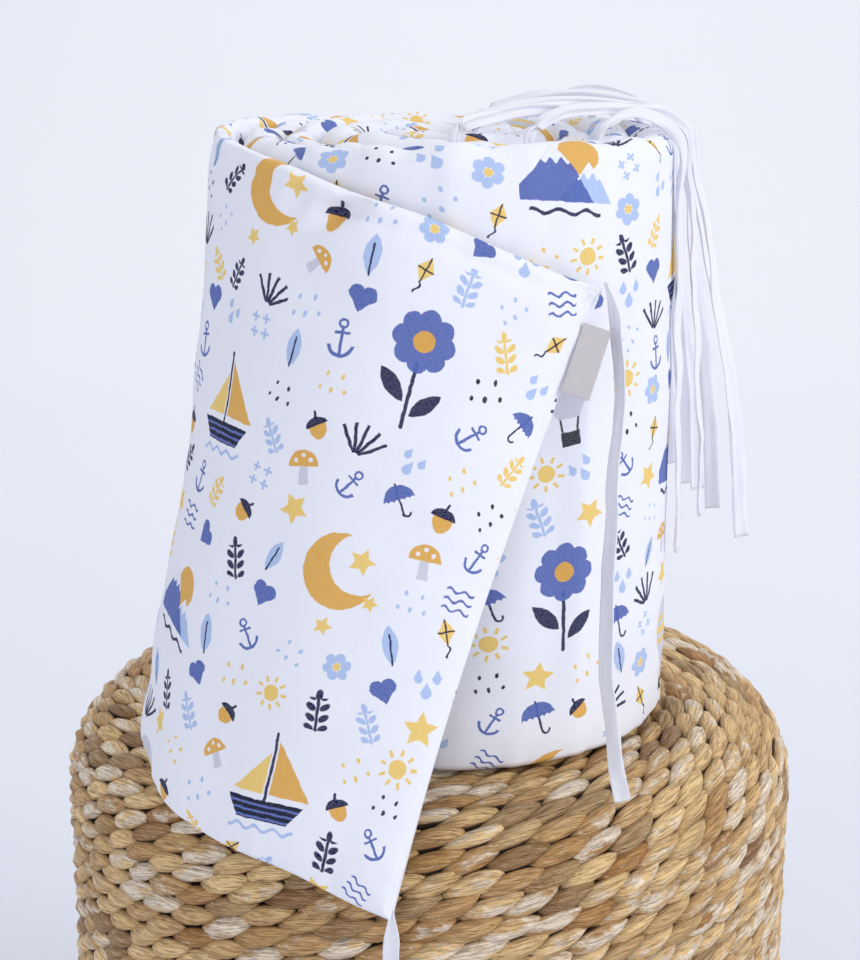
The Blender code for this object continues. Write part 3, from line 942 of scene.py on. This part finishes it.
def leaf(x, y):
    rib = segment(x, y, 0.0, -9.3, 0.0, 5.0, 0.45)
    return ((lens(x, y, 9.3, 3.9), "sky"), (rib, "navy"))


def umbrella(x, y):
    cover = higher(reach(x, y - 0.5) - 8.2, -y + 0.5 + abs((x * 1.1).sin()) * 1.0)
    hook = higher(abs(reach(x - 1.9, y + 6.5) - 1.9) - 0.5, y + 6.5)
    shaft = lower(segment(x, y, 0.0, 9.3, 0.0, -6.5, 0.5), hook)
    return ((shaft, "navy"), (cover, "periwinkle"))


def drops(x, y):
    fallen = abs(x) - 4.6
    upper = higher(abs(x) * 0.88 + y * 0.47 - 0.9, -y - 3.5)
    pair = higher(abs(fallen) * 0.88 + y * 0.47 - 3.6, 3.0 - y)
    return ((lower(reach(x, y + 3.5) - 2.5, upper, reach(fallen, y - 3.0) - 2.0, pair), "sky"),)


def mushroom(x, y):
    cap = higher(reach(x, y - 0.5) - 7.6, 0.5 - y)
    spots = lower(reach(abs(x) - 3.6, y - 3.4) - 1.0, reach(x, y - 5.6) - 0.95)
    foot = higher(abs(x) - 2.0 + y * 0.06, y - 0.5, -y - 8)
    return ((foot, "grey"), (cap, "mustard"), (spots, "cotton"))


def kite(x, y):
    sail = abs(x) * 0.84 + abs(y - 3.2) * 0.54 - 3.7
    tail = higher(abs(x - (y * 0.9).sin() * 1.1) - 0.55, y + 3.2, -y - 9.4)
    spars = higher(sail, lower(abs(x), abs(y - 3.2)) - 0.4)
    return ((tail, "navy"), (sail, "lemon"), (spars, "navy"))


def acorn(x, y):
    nut = higher(reach(x * 1.15, y * 0.85) - 5.6, y - 1.2)
    stalk = segment(x, y, 0.0, 4.0, 1.0, 7.5, 0.7)
    return ((nut, "mustard"), (lower(higher(reach(x, y * 1.25) - 6.4, 0.6 - y), stalk), "navy"))


def anchor(x, y):
    ring = abs(reach(x, y - 7) - 1.9) - 0.55
    shank = segment(x, y, 0.0, 5.2, 0.0, -7.4, 0.7)
    stock = segment(x, y, -3.2, 3.0, 3.2, 3.0, 0.6)
    arms = higher(abs(reach(x, y + 1.6) - 5.8) - 0.75, y + 2.6)
    return ((lower(ring, shank, stock, arms), "periwinkle"),)


def blossom(x, y):
    out, across = spun(x, y, 6)
    return ((reach(out - 4.9, across) - 2.7, "sky"), (reach(x, y) - 2.1, "lemon"))


def ripples(x, y):
    line = (y + 7.5).modulo(4.6) - 2.3 - (x * 0.8).sin() * 0.9
    return ((higher(abs(line) - 0.6, abs(x) - 7.5, abs(y - 0.2) - 6.6), "periwinkle"),)


def crosses(x, y):
    a, b = abs(x) - 3.6, abs(y) - 3.4
    return ((lower(higher(abs(a) - 0.6, abs(b) - 2.4), higher(abs(b) - 0.6, abs(a) - 2.4)), "sky"),)


def small_motifs(x, y):
    """Painted shapes up to 19 mm across, each a list of (distance in millimetres, colour's name)."""
    sprigs, scatter = sprig(x, y), dots(x, y)
    return (
        ((sprigs, "sky"),),
        tuft(x, y),
        ((scatter, "charcoal"),),
        heart(x, y),
        sun(x, y),
        leaf(x, y),
        ((sprigs, "lemon"),),
        umbrella(x, y),
        ((scatter, "sky"),),
        ((star(y, x, 8.8), "lemon"),),
        drops(x, y),
        mushroom(x, y),
        ((sprigs, "navy"),),
        kite(x, y),
        acorn(x, y),
        blossom(x, y),
        ripples(x, y),
        ((scatter, "lemon"),),
        crosses(x, y),
        anchor(x, y),
    )


def large_motifs(x, y):
    return [shape(x, y) for shape in (big_moon, big_flower, big_balloon, big_hills, big_boat)]


def turned_by(turn, size, x, y):
    """A place on coordinates that are turned by a wire's angle and scaled."""
    c, s = turn.cos(), turn.sin()
    if size is not None:
        c, s = c * size, s * size
    return x * c + y * s, y * c - x * s


def printed_cotton():
    """White cotton with a scattered nursery print, painted in seven colours."""
    options = settings()
    made = Finish("printed_cotton", options.cotton, 0.88, 0.05, 0.12)
    across, up = made.cloth()
    # Hand-painted edges: the print is drawn on coordinates that waver a little.
    plane = made.vector(across, up, 0.0)
    waver_u, waver_v, _ = made.noises(plane, 240)
    u = across * 1000 + waver_u * 1.4
    v = up * 1000 + waver_v * 1.4
    # Columns of repeats are staggered.
    column = (u / REPEAT_WIDTH).floor()
    v = v + column.modulo(2.0) * (REPEAT_HEIGHT / 2) + 12
    row = (v / REPEAT_HEIGHT).floor()
    x = u - column * REPEAT_WIDTH
    y = v - row * REPEAT_HEIGHT
    ix = (x / PLACE_WIDTH).floor()
    iy = (y / PLACE_HEIGHT).floor()
    is_large = abs(ix - 1.5).below(1.0) * abs(iy - 2.0).below(1.1)
    pick, nudge_x, nudge_y, twist = made.chance(made.vector(column * 4 + ix, row * 5 + iy, 0.5))
    # Neighbouring places never take the same motif.
    order = ix * 0.3796 + (row * 5 + iy) * 0.1423 + column * 0.1296 + pick * 0.08
    size = 1.10 + (twist * 7.3).sin() * 0.10
    px = x - ix * PLACE_WIDTH - PLACE_WIDTH / 2 - (nudge_x - 0.5) * 5.0
    py = y - iy * PLACE_HEIGHT - PLACE_HEIGHT / 2 - (nudge_y - 0.5) * 4.0
    small = small_motifs(*turned_by((twist - 0.5) * 1.5, size, px, py))
    # The large motifs take turns along and up the cloth.
    large_order = column * 0.4 + row * 0.2 + 0.1
    lean = (made.chance(made.vector(column, row, 7.5))[1] - 0.5) * 0.35
    large = large_motifs(*turned_by(lean, None, x - REPEAT_WIDTH / 2, y - REPEAT_HEIGHT / 2))
    crayon = made.noise(made.vector(across * 0.6, up, 1.0), 1100, 3, 0.7)
    fill = (crayon * 1.3 + 0.26).within(0.93, 1.0)
    colour = options.cotton
    for motifs, chosen, choice in ((small, 1 - is_large, order), (large, is_large, large_order)):
        choice = choice.math("FRACT")
        for k, motif in enumerate(motifs):
            middle = (k + 0.5) / len(motifs)
            mine = abs(choice - middle).below(0.5 / len(motifs)) * chosen * fill
            for shape, paint in motif:
                share = shape.math("MULTIPLY_ADD", -2.6, 0.6).within(0, 1) * mine
                colour = made.mix(share, colour, getattr(options, paint))
    flecks = ((crayon - 0.60) * 14).within(0, 1) * 0.22
    colour = made.mix(flecks * is_large, colour, options.cotton)
    yarn = 2 * math.pi / 0.00042
    weave = (across * yarn).sin() * (up * yarn).sin()
    slub = made.noise(made.vector(across, up * 0.25, 2.0), 700, 2, 0.6)
    soft = made.noise(plane, 38, 3, 0.55)
    normal = made.bump(weave, 0.00004, 0.35)
    normal = made.bump(slub, 0.00012, 0.4, normal)
    normal = made.bump(soft, 0.0030, 0.35, normal)
    return made.finish(colour, normal)


# ---------------------------------------------------------------- the other finishes


def tape_cotton():
    """White twill tape, with its diagonal weave and a firmer edge."""
    white = settings().tape_white
    made = Finish("white_tape", white, 0.82, 0.1, 0.25)
    across, along = made.cloth()
    twill = ((along + abs(across)) * (2 * math.pi / 0.0008)).sin()
    edge = (abs(across) / 0.004).within(0, 1).math("POWER", 10.0)
    shade = made.noise(made.vector(across, along, 0.0), 160)
    colour = made.mix(shade * 0.25, white, plain((214, 215, 228)))
    creases = made.noise(made.vector(across, along * 0.12, 3.0), 900, 3, 0.6)
    normal = made.bump(twill, 0.00005, 0.4)
    normal = made.bump(creases, 0.0006, 0.5, normal)
    normal = made.bump(edge, 0.0002, 0.5, normal)
    return made.finish(colour, normal)


def tab_weave():
    """Pale grey woven tab, blank, with fine ribs."""
    grey = settings().tab_grey
    made = Finish("woven_tab", grey, 0.7)
    across, along = made.cloth()
    ribs = (along * (2 * math.pi / 0.0006)).sin() * (across * (2 * math.pi / 0.0009)).sin()
    cloud = made.noise(made.vector(across, along, 0.0), 220, 3, 0.6)
    colour = made.mix(cloud * 0.5, grey, plain((180, 176, 180)))
    return made.finish(colour, made.bump(ribs, 0.00008, 0.6))


def stalks():
    """Dried plant stalks: golden, with streaks along each strand, peeled patches, a few brown ones and
    painted shade.
    """
    gold, brown = settings().stalk_gold, settings().stalk_brown
    made = Finish("woven_stalks", gold, 0.55, 0.0, 0.45)
    along, across = made.cloth()
    tint, shift, painted_shade = [made.attribute(name) for name in ("tint", "shift", "painted_shade")]
    streak = made.noise(made.vector(along * 60 + shift * 50, across * 850, shift * 9), 1.0, 4, 0.65)
    fine = made.noise(made.vector(along * 110 + shift * 90, across * 2100, shift * 5), 1.0, 4, 0.7)
    patch = made.noise(made.vector(along * 90 + shift * 70, across * 190, shift * 3), 1.0, 4, 0.6)
    # Painted shade: darker and browner from each strand's crown out to its edges.
    rim = ((painted_shade + 1.8) / 2.4).within(0, 1)
    peeled = (patch - 0.72 - painted_shade * 0.10 + (fine - 0.5) * 0.7 + (shift - 0.52) * 0.55) * 12
    colour = made.mix(tint, gold, brown)
    # The last layer is painted shade: it darkens the strands where they dive under their neighbours.
    layers = (
        (rim * rim, 0.84, (124, 74, 28)),
        (peeled, 0.86, (255, 243, 222)),
        ((0.11 - shift) * 18, 0.60, (118, 88, 62)),
        ((streak - 0.48) * 7, 0.54, (118, 74, 32)),
        ((fine - 0.50) * 9, 0.66, (80, 46, 18)),
        # Pale fine fibres, which also serve as painted highlights on the ridges.
        ((0.43 - fine) * 9, 0.55, (255, 240, 212)),
        ((painted_shade - 0.05) * 1.5, 0.98, (26, 12, 3)),
    )
    for share, most, rgb in layers:
        colour = made.mix(share.within(0, 1) * most, colour, plain(rgb))
    normal = made.bump(streak, 0.0012, 0.8)
    normal = made.bump(fine, 0.0006, 0.8, normal)
    return made.finish(colour, normal, 0.38 + streak * 0.3)


def dark_core():
    """The stalks that lie behind the outer strands, dark brown as painted shade."""
    made = Finish("woven_stalks_core", plain((70, 46, 26)), 0.85)
    x, y, z = made.place()
    rough = made.noise(made.vector(x, y, z * 2), 160, 3, 0.6)
    colour = made.mix(rough, plain((38, 24, 14)), plain((92, 62, 36)))
    return made.finish(colour, made.bump(rough, 0.002, 0.8))


def pale_ground():
    """Plain matt paper, a little deeper in tone near the pouffe than far from it: the lighter far parts are
    painted light.
    """
    made = Finish("pale_ground", plain((232, 234, 245)), 0.95)
    x, y, z = made.place()
    # Painted light: the floor grows lighter towards the back and far out in front.
    far = higher((y + 0.6) / 3.2, (y + 1.6) / -2.0).within(0, 1)
    cloud = made.noise(made.vector(x, y, z), 0.8, 1) * 0.15
    return made.finish(made.mix((far + cloud).within(0, 1), plain((214, 217, 231)), plain((247, 249, 254))))


# ---------------------------------------------------------------- the woven tab


class BUMPER_OT_tab(bpy.types.Operator):
    """Makes the small blank woven tab, folded over and sewn into the free edge"""

    bl_idname = "bumper.tab"
    bl_label = "Tab"

    def execute(self, context):
        width, length = settings().tab_width, settings().tab_length
        # The solid's own three directions: up its seam, out of the seam, and through it.
        points = np.array([tuple(v.co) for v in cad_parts["label_tab"].data.vertices])
        middle = 0.5 * (points.min(0) + points.max(0))
        up, out, _ = np.linalg.svd(points - points.mean(0), full_matrices=False)[2]
        up = up if up[2] > 0 else -up
        out = out if out[0] > 0 else -out
        face = np.cross(up, out)
        deselect_all()
        bpy.ops.mesh.primitive_grid_add(x_subdivisions=14, y_subdivisions=33, size=1)
        made = context.object
        made.name = "label_fold"
        mesh = made.data
        cloth = mesh.uv_layers[0]
        cloth.name = "cloth"
        flat = np.array([tuple(v.co) for v in mesh.vertices])
        x, y = flat[:, 0] * width, flat[:, 1] * length
        for loop in mesh.loops:
            cloth.data[loop.index].uv = (x[loop.vertex_index], y[loop.vertex_index])
        curl = 0.0009 * np.sin(y / length * 3.1 + 0.6) * (flat[:, 0] + 0.5)
        place = middle + np.outer(x, out) + np.outer(y, up) + np.outer(curl, face)
        for vertex, point in zip(mesh.vertices, place):
            vertex.co = point
        made.location = (0, 0, 0)
        wall = made.modifiers.new("two layers", "SOLIDIFY")
        wall.thickness = 0.0009
        wall.offset = 0
        rim = made.modifiers.new("worn edge", "BEVEL")
        rim.width = 0.0003
        rim.segments = 2
        bpy.ops.object.modifier_apply(modifier=wall.name)
        bpy.ops.object.modifier_apply(modifier=rim.name)
        bpy.ops.object.shade_smooth_by_angle(angle=math.radians(40))
        mesh.materials.append(tab_weave())
        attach(made, BODY)
        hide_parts("label_tab")
        return {"FINISHED"}


# ---------------------------------------------------------------- the pouffe


def strand():
    """One turn of a two-strand plait: a plump slanted leaf lying along X, its two far corners pointed."""
    deselect_all()
    bpy.ops.mesh.primitive_uv_sphere_add(segments=8, ring_count=9, radius=1)
    made = bpy.context.object
    made.name = "strand"
    bpy.ops.object.mode_set(mode="EDIT")
    bpy.ops.mesh.select_all(action="SELECT")
    bpy.ops.transform.rotate(value=math.pi / 2, orient_axis="Y", center_override=(0, 0, 0))
    bpy.ops.object.mode_set(mode="OBJECT")
    mesh = made.data
    painted_shade = mesh.attributes.new("painted_shade", "FLOAT", "POINT")
    for vertex in mesh.vertices:
        x, y, z = vertex.co
        girth = math.hypot(y, z)
        lift = 0.4
        if girth > 1e-6:
            # A flattened round: broad in the middle and meeting its neighbours at a narrow crease.
            broad = (1 - abs(x) ** 2.1) ** 0.57
            lift = math.copysign(abs(z / girth) ** 0.80, z)
            y = broad * math.copysign(abs(y / girth) ** 0.80, y)
            z = broad * lift
        # Painted shade for its material: darkest where it dives under its neighbours along its two sides and
        # at its start under the tip before it, and a little on its lower side.
        painted_shade.data[vertex.index].value = (0.55 - lift) * 4.0 + max(-x - 0.30, 0.0) * 2.6 - 0.25 * y
        vertex.co = (x + 0.36 * y, y + 0.20 * x**3, z + 0.24 * x - 0.16 * x * x)
    return made


def surface_lines(pitch_side, pitch_top):
    """Rows round the drum from its foot to the middle of its top: the radius, height and lean of each."""
    rows = []
    start = 0.4 * POUFFE_FOOT
    straight = POUFFE_TOP - POUFFE_EDGE - start
    count = round(straight / pitch_side)
    for i in range(count):
        z = start + (i + 0.5) * straight / count
        pull = 0.0
        if z < POUFFE_FOOT:
            pull = POUFFE_FOOT - math.sqrt(max(POUFFE_FOOT**2 - (POUFFE_FOOT - z) ** 2, 0))
        rows.append((POUFFE_RADIUS - pull, z, 0.0))
    count = round(POUFFE_EDGE * math.pi / 2 / (0.5 * (pitch_side + pitch_top)))
    for i in range(count):
        lean = (i + 0.5) / count * math.pi / 2
        r = POUFFE_RADIUS - POUFFE_EDGE * (1 - math.cos(lean))
        rows.append((r, POUFFE_TOP - POUFFE_EDGE * (1 - math.sin(lean)), lean))
    flat = POUFFE_RADIUS - POUFFE_EDGE
    count = round(flat / pitch_top)
    for i in range(count):
        rows.append((flat * (1 - (i + 0.5) / count), POUFFE_TOP, math.pi / 2))
    return rows


def plait_rows(name, rows, chance, finish):
    """Lays strands along each row, tilted across it so that they twist like rope, and joins them."""
    shape = bpy.data.objects["strand"].data
    source = np.array([tuple(v.co) for v in shape.vertices])
    polygons = [tuple(p.vertices) for p in shape.polygons]
    painted_shade = [value.value for value in shape.attributes["painted_shade"].data]
    x, y, z = source.T
    points, faces, uvs = [], [], []
    values = {"tint": [], "shift": [], "painted_shade": []}
    for radius, height, lean, pitch in rows:
        spacing = (STRAND_SPACING if radius > 0.09 else INNER_SPACING) * chance.uniform(0.92, 1.08)
        count = max(3, round(2 * math.pi * radius / spacing))
        offset = chance.uniform(0, 2 * math.pi)
        for k in range(count):
            angle = offset + 2 * math.pi * (k + chance.uniform(-0.05, 0.05)) / count
            long = min(1.74 * spacing * chance.uniform(0.94, 1.08), 1.15 * radius + 0.006)
            tall = pitch * 1.13 * chance.uniform(0.92, 1.08)
            deep = STRAND_DEPTH * chance.uniform(0.9, 1.1)
            tilt = math.radians(10 + chance.uniform(-4, 4))
            # Each stalk is creased and bent in its own way.
            bend = chance.uniform(-0.16, 0.16)
            roll = chance.uniform(-0.3, 0.3)
            crease = chance.uniform(0, 0.22)
            shaped = np.stack([x, y + bend * x * x, z + roll * y * (1 - x * x) - crease * abs(y)], 1)
            local = shaped * (0.5 * long, 0.5 * tall, 0.5 * deep)
            c, s = math.cos(tilt), math.sin(tilt)
            along = local[:, 0] * c - local[:, 1] * s
            up = local[:, 0] * s + local[:, 1] * c
            out = local[:, 2] - 0.48 * deep + chance.uniform(-0.0008, 0.0004)
            turn = angle + along / max(radius, 0.012)
            r = radius + out * math.cos(lean) - up * math.sin(lean)
            rise = height + out * math.sin(lean) + up * math.cos(lean)
            start = len(points) * len(source)
            points.append(np.stack([r * np.cos(turn), r * np.sin(turn), rise], 1))
            faces += [tuple(start + i for i in face) for face in polygons]
            values["tint"] += [chance.beta(1.5, 2.0)] * len(source)
            values["shift"] += [chance.uniform(0, 1)] * len(source)
            # Each strand takes its painted shade along to the material.
            values["painted_shade"] += painted_shade
            cloth = np.stack([x * 0.5 * long, np.arctan2(y, z) * 0.5 * tall], 1)
            uvs += [tuple(cloth[i]) for face in polygons for i in face]
    made = piece_from(name, np.concatenate(points), faces, finish, uvs)
    for label, numbers in values.items():
        layer = made.data.attributes.new(label, "FLOAT", "POINT")
        layer.data.foreach_set("value", np.asarray(numbers, np.float32))
    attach(made, BODY)
    return made


def core_outline(radius, height, edge, foot):
    """Half the outline of the core, from the middle of its top down to the middle of its base."""
    outline = [(0.0, height)]
    for i in range(9):
        angle = math.pi / 2 * i / 8
        outline.append((radius - edge * (1 - math.sin(angle)), height - edge * (1 - math.cos(angle))))
    for i in range(5):
        angle = math.pi / 2 * i / 4
        outline.append((radius - foot * (1 - math.cos(angle)), foot * (1 - math.sin(angle))))
    return outline + [(0.0, 0.0)]


def inner_drum():
    """A drum just inside the strands, spun from half of its outline."""
    radius, height = POUFFE_RADIUS - CORE_DEPTH, POUFFE_TOP - CORE_DEPTH
    outline = core_outline(radius, height, POUFFE_EDGE - 0.004, POUFFE_FOOT)
    mesh = bpy.data.meshes.new("pouffe_core")
    mesh.from_pydata([(r, 0, z) for r, z in outline], [(i, i + 1) for i in range(len(outline) - 1)], [])
    made = bpy.data.objects.new("pouffe_core", mesh)
    bpy.context.scene.collection.objects.link(made)
    pick_up(made)
    bpy.ops.object.mode_set(mode="EDIT")
    bpy.ops.mesh.select_all(action="SELECT")
    bpy.ops.mesh.spin(steps=72, angle=2 * math.pi, center=(0, 0, 0), axis=(0, 0, 1))
    bpy.ops.mesh.select_all(action="SELECT")
    bpy.ops.mesh.remove_doubles(threshold=0.0001)
    bpy.ops.mesh.normals_make_consistent(inside=False)
    bpy.ops.object.mode_set(mode="OBJECT")
    mesh.shade_smooth()
    mesh.materials.append(dark_core())
    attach(made, BODY)
    return made


class BUMPER_OT_pouffe(bpy.types.Operator):
    """Makes the pouffe: rows of plaited stalks round a dark core"""

    bl_idname = "bumper.pouffe"
    bl_label = "Pouffe"

    def execute(self, context):
        pitch = settings().row_pitch
        finish = stalks()
        strand()
        rows = []
        for radius, z, lean in surface_lines(pitch, 0.93 * pitch):
            rows.append((radius, z, lean, pitch if lean < 0.1 else 0.96 * pitch))
        side = sum(row[2] == 0.0 for row in rows)
        chance = np.random.default_rng(31)
        plait_rows("pouffe_side_low", rows[: side // 2], chance, finish)
        plait_rows("pouffe_side_high", rows[side // 2 : side], chance, finish)
        plait_rows("pouffe_top", rows[side:], chance, finish)
        bpy.data.objects.remove(bpy.data.objects["strand"])
        core = inner_drum()
        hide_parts("pouffe")
        return {"FINISHED"}


# ---------------------------------------------------------------- the stage


# The floor, and the curve by which it rises to a wall behind.
GROUND_HALF, GROUND_FRONT, GROUND_BACK = 16.0, -18.0, 2.2
COVE_RADIUS = 1.2
WALL_TOP = 5.0

# Each light's name, place, aim, width, power in watts, and colour.
LIGHTS = (
    ("key", (2.4, -1.25, 1.6), (0, 0, 0.42), 1.7, 39, (1.0, 0.98, 0.95)),
    ("fill", (-1.4, -2.6, 1.3), (0, 0, 0.45), 2.4, 21, (0.98, 0.98, 1.0)),
    ("top", (0.2, 1.4, 2.8), (0, 0.9, 0.6), 2.2, 20, (1, 1, 1)),
)
SURROUND = (0.935, 0.95, 1.0, 1)
SURROUND_STRENGTH = 0.62


def soft_light(name, place, aim, size, power, colour):
    data = bpy.data.lights.new(name, "AREA")
    data.shape = "SQUARE"
    data.size = size
    data.energy = power
    data.color = colour
    made = bpy.data.objects.new(name, data)
    bpy.context.scene.collection.objects.link(made)
    made.location = place
    made.rotation_euler = (Vector(aim) - Vector(place)).to_track_quat("-Z", "Y").to_euler()


class BUMPER_OT_stage(bpy.types.Operator):
    """Adds a plain pale floor that curves up behind, and soft studio light"""

    bl_idname = "bumper.stage"
    bl_label = "Stage"

    def execute(self, context):
        profile = [(GROUND_FRONT, 0.0), (GROUND_BACK, 0.0)]
        for angle in np.linspace(0.15, 1.57, 10):
            profile.append((GROUND_BACK + COVE_RADIUS * math.sin(angle), COVE_RADIUS * (1 - math.cos(angle))))
        profile.append((GROUND_BACK + COVE_RADIUS, WALL_TOP))
        points = [(x, y, z) for x in (-GROUND_HALF, GROUND_HALF) for y, z in profile]
        half = len(profile)
        faces = [(i, half + i, half + i + 1, i + 1) for i in range(half - 1)]
        ground = piece_from("ground", points, faces, pale_ground())
        world = context.scene.world or bpy.data.worlds.new("World")
        context.scene.world = world
        world.use_nodes = True
        backing = world.node_tree.nodes["Background"]
        backing.inputs["Color"].default_value = SURROUND
        backing.inputs["Strength"].default_value = SURROUND_STRENGTH
        for light in LIGHTS:
            soft_light(*light)
        context.scene.view_settings.view_transform = "Standard"
        return {"FINISHED"}


# ---------------------------------------------------------------- the add-on


def size_setting(name, description, metres):
    return FloatProperty(name=name, description=description, default=metres, unit="LENGTH", precision=4)


def colour_setting(name, description, rgb):
    colour = plain(rgb)
    return FloatVectorProperty(
        name=name, description=description, default=colour, subtype="COLOR", min=0, max=1
    )


class BumperSettings(bpy.types.PropertyGroup):
    tape_width: size_setting("Tape width", "Width of each tie", 0.008)
    tape_thickness: size_setting("Tape thickness", "Thickness of each tie", 0.0011)
    tab_width: size_setting("Tab width", "How far the blank tab stands out of its seam", 0.0134)
    tab_length: size_setting("Tab length", "Length of the blank tab along its seam", 0.033)
    row_pitch: size_setting("Row pitch", "Height of one row of the pouffe's plait", 0.0116)
    cotton: colour_setting("Cotton", "Ground of the printed cotton", (236, 238, 247))
    navy: colour_setting("Navy", "Dark blue of the print", (14, 21, 70))
    mustard: colour_setting("Mustard", "Deep yellow of the print", (222, 170, 76))
    lemon: colour_setting("Lemon", "Light yellow of the print", (236, 202, 112))
    sky: colour_setting("Sky", "Light blue of the print", (172, 194, 234))
    periwinkle: colour_setting("Periwinkle", "Middle blue of the print", (84, 104, 176))
    grey: colour_setting("Grey", "Pale grey of the print", (204, 206, 219))
    charcoal: colour_setting("Charcoal", "Near black of the print", (30, 31, 46))
    tape_white: colour_setting("Tape white", "Cotton tape of the ties", (238, 239, 247))
    tab_grey: colour_setting("Tab grey", "Woven tab in the end seam", (201, 197, 200))
    stalk_gold: colour_setting("Stalk gold", "Lightest stalks of the pouffe", (255, 220, 158))
    stalk_brown: colour_setting("Stalk brown", "Deepest stalks of the pouffe", (182, 130, 66))


class BUMPER_PT_panel(bpy.types.Panel):
    """Lists the pieces that can be made"""

    bl_label = "Rolled crib bumper"
    bl_idname = "BUMPER_PT_panel"
    bl_space_type = "VIEW_3D"
    bl_region_type = "UI"
    bl_category = "Bumper"

    def draw(self, context):
        for name in BumperSettings.__annotations__:
            self.layout.prop(settings(), name)
        for operator in OPERATORS:
            self.layout.operator(operator.bl_idname)


OPERATORS = (
    BUMPER_OT_camera,
    BUMPER_OT_ties,
    BUMPER_OT_band,
    BUMPER_OT_tab,
    BUMPER_OT_pouffe,
    BUMPER_OT_stage,
)
CLASSES = (BumperSettings, *OPERATORS, BUMPER_PT_panel)


def register():
    for owner in CLASSES:
        bpy.utils.register_class(owner)
    bpy.types.Scene.bumper_settings = PointerProperty(type=BumperSettings)


def unregister():
    del bpy.types.Scene.bumper_settings
    for owner in reversed(CLASSES):
        bpy.utils.unregister_class(owner)


def main():
    register()
    bpy.ops.bumper.camera()
    bpy.ops.bumper.ties()
    bpy.ops.bumper.band()
    bpy.ops.bumper.tab()
    bpy.ops.bumper.pouffe()
    bpy.ops.bumper.stage()


if __name__ == "__main__":
    main()
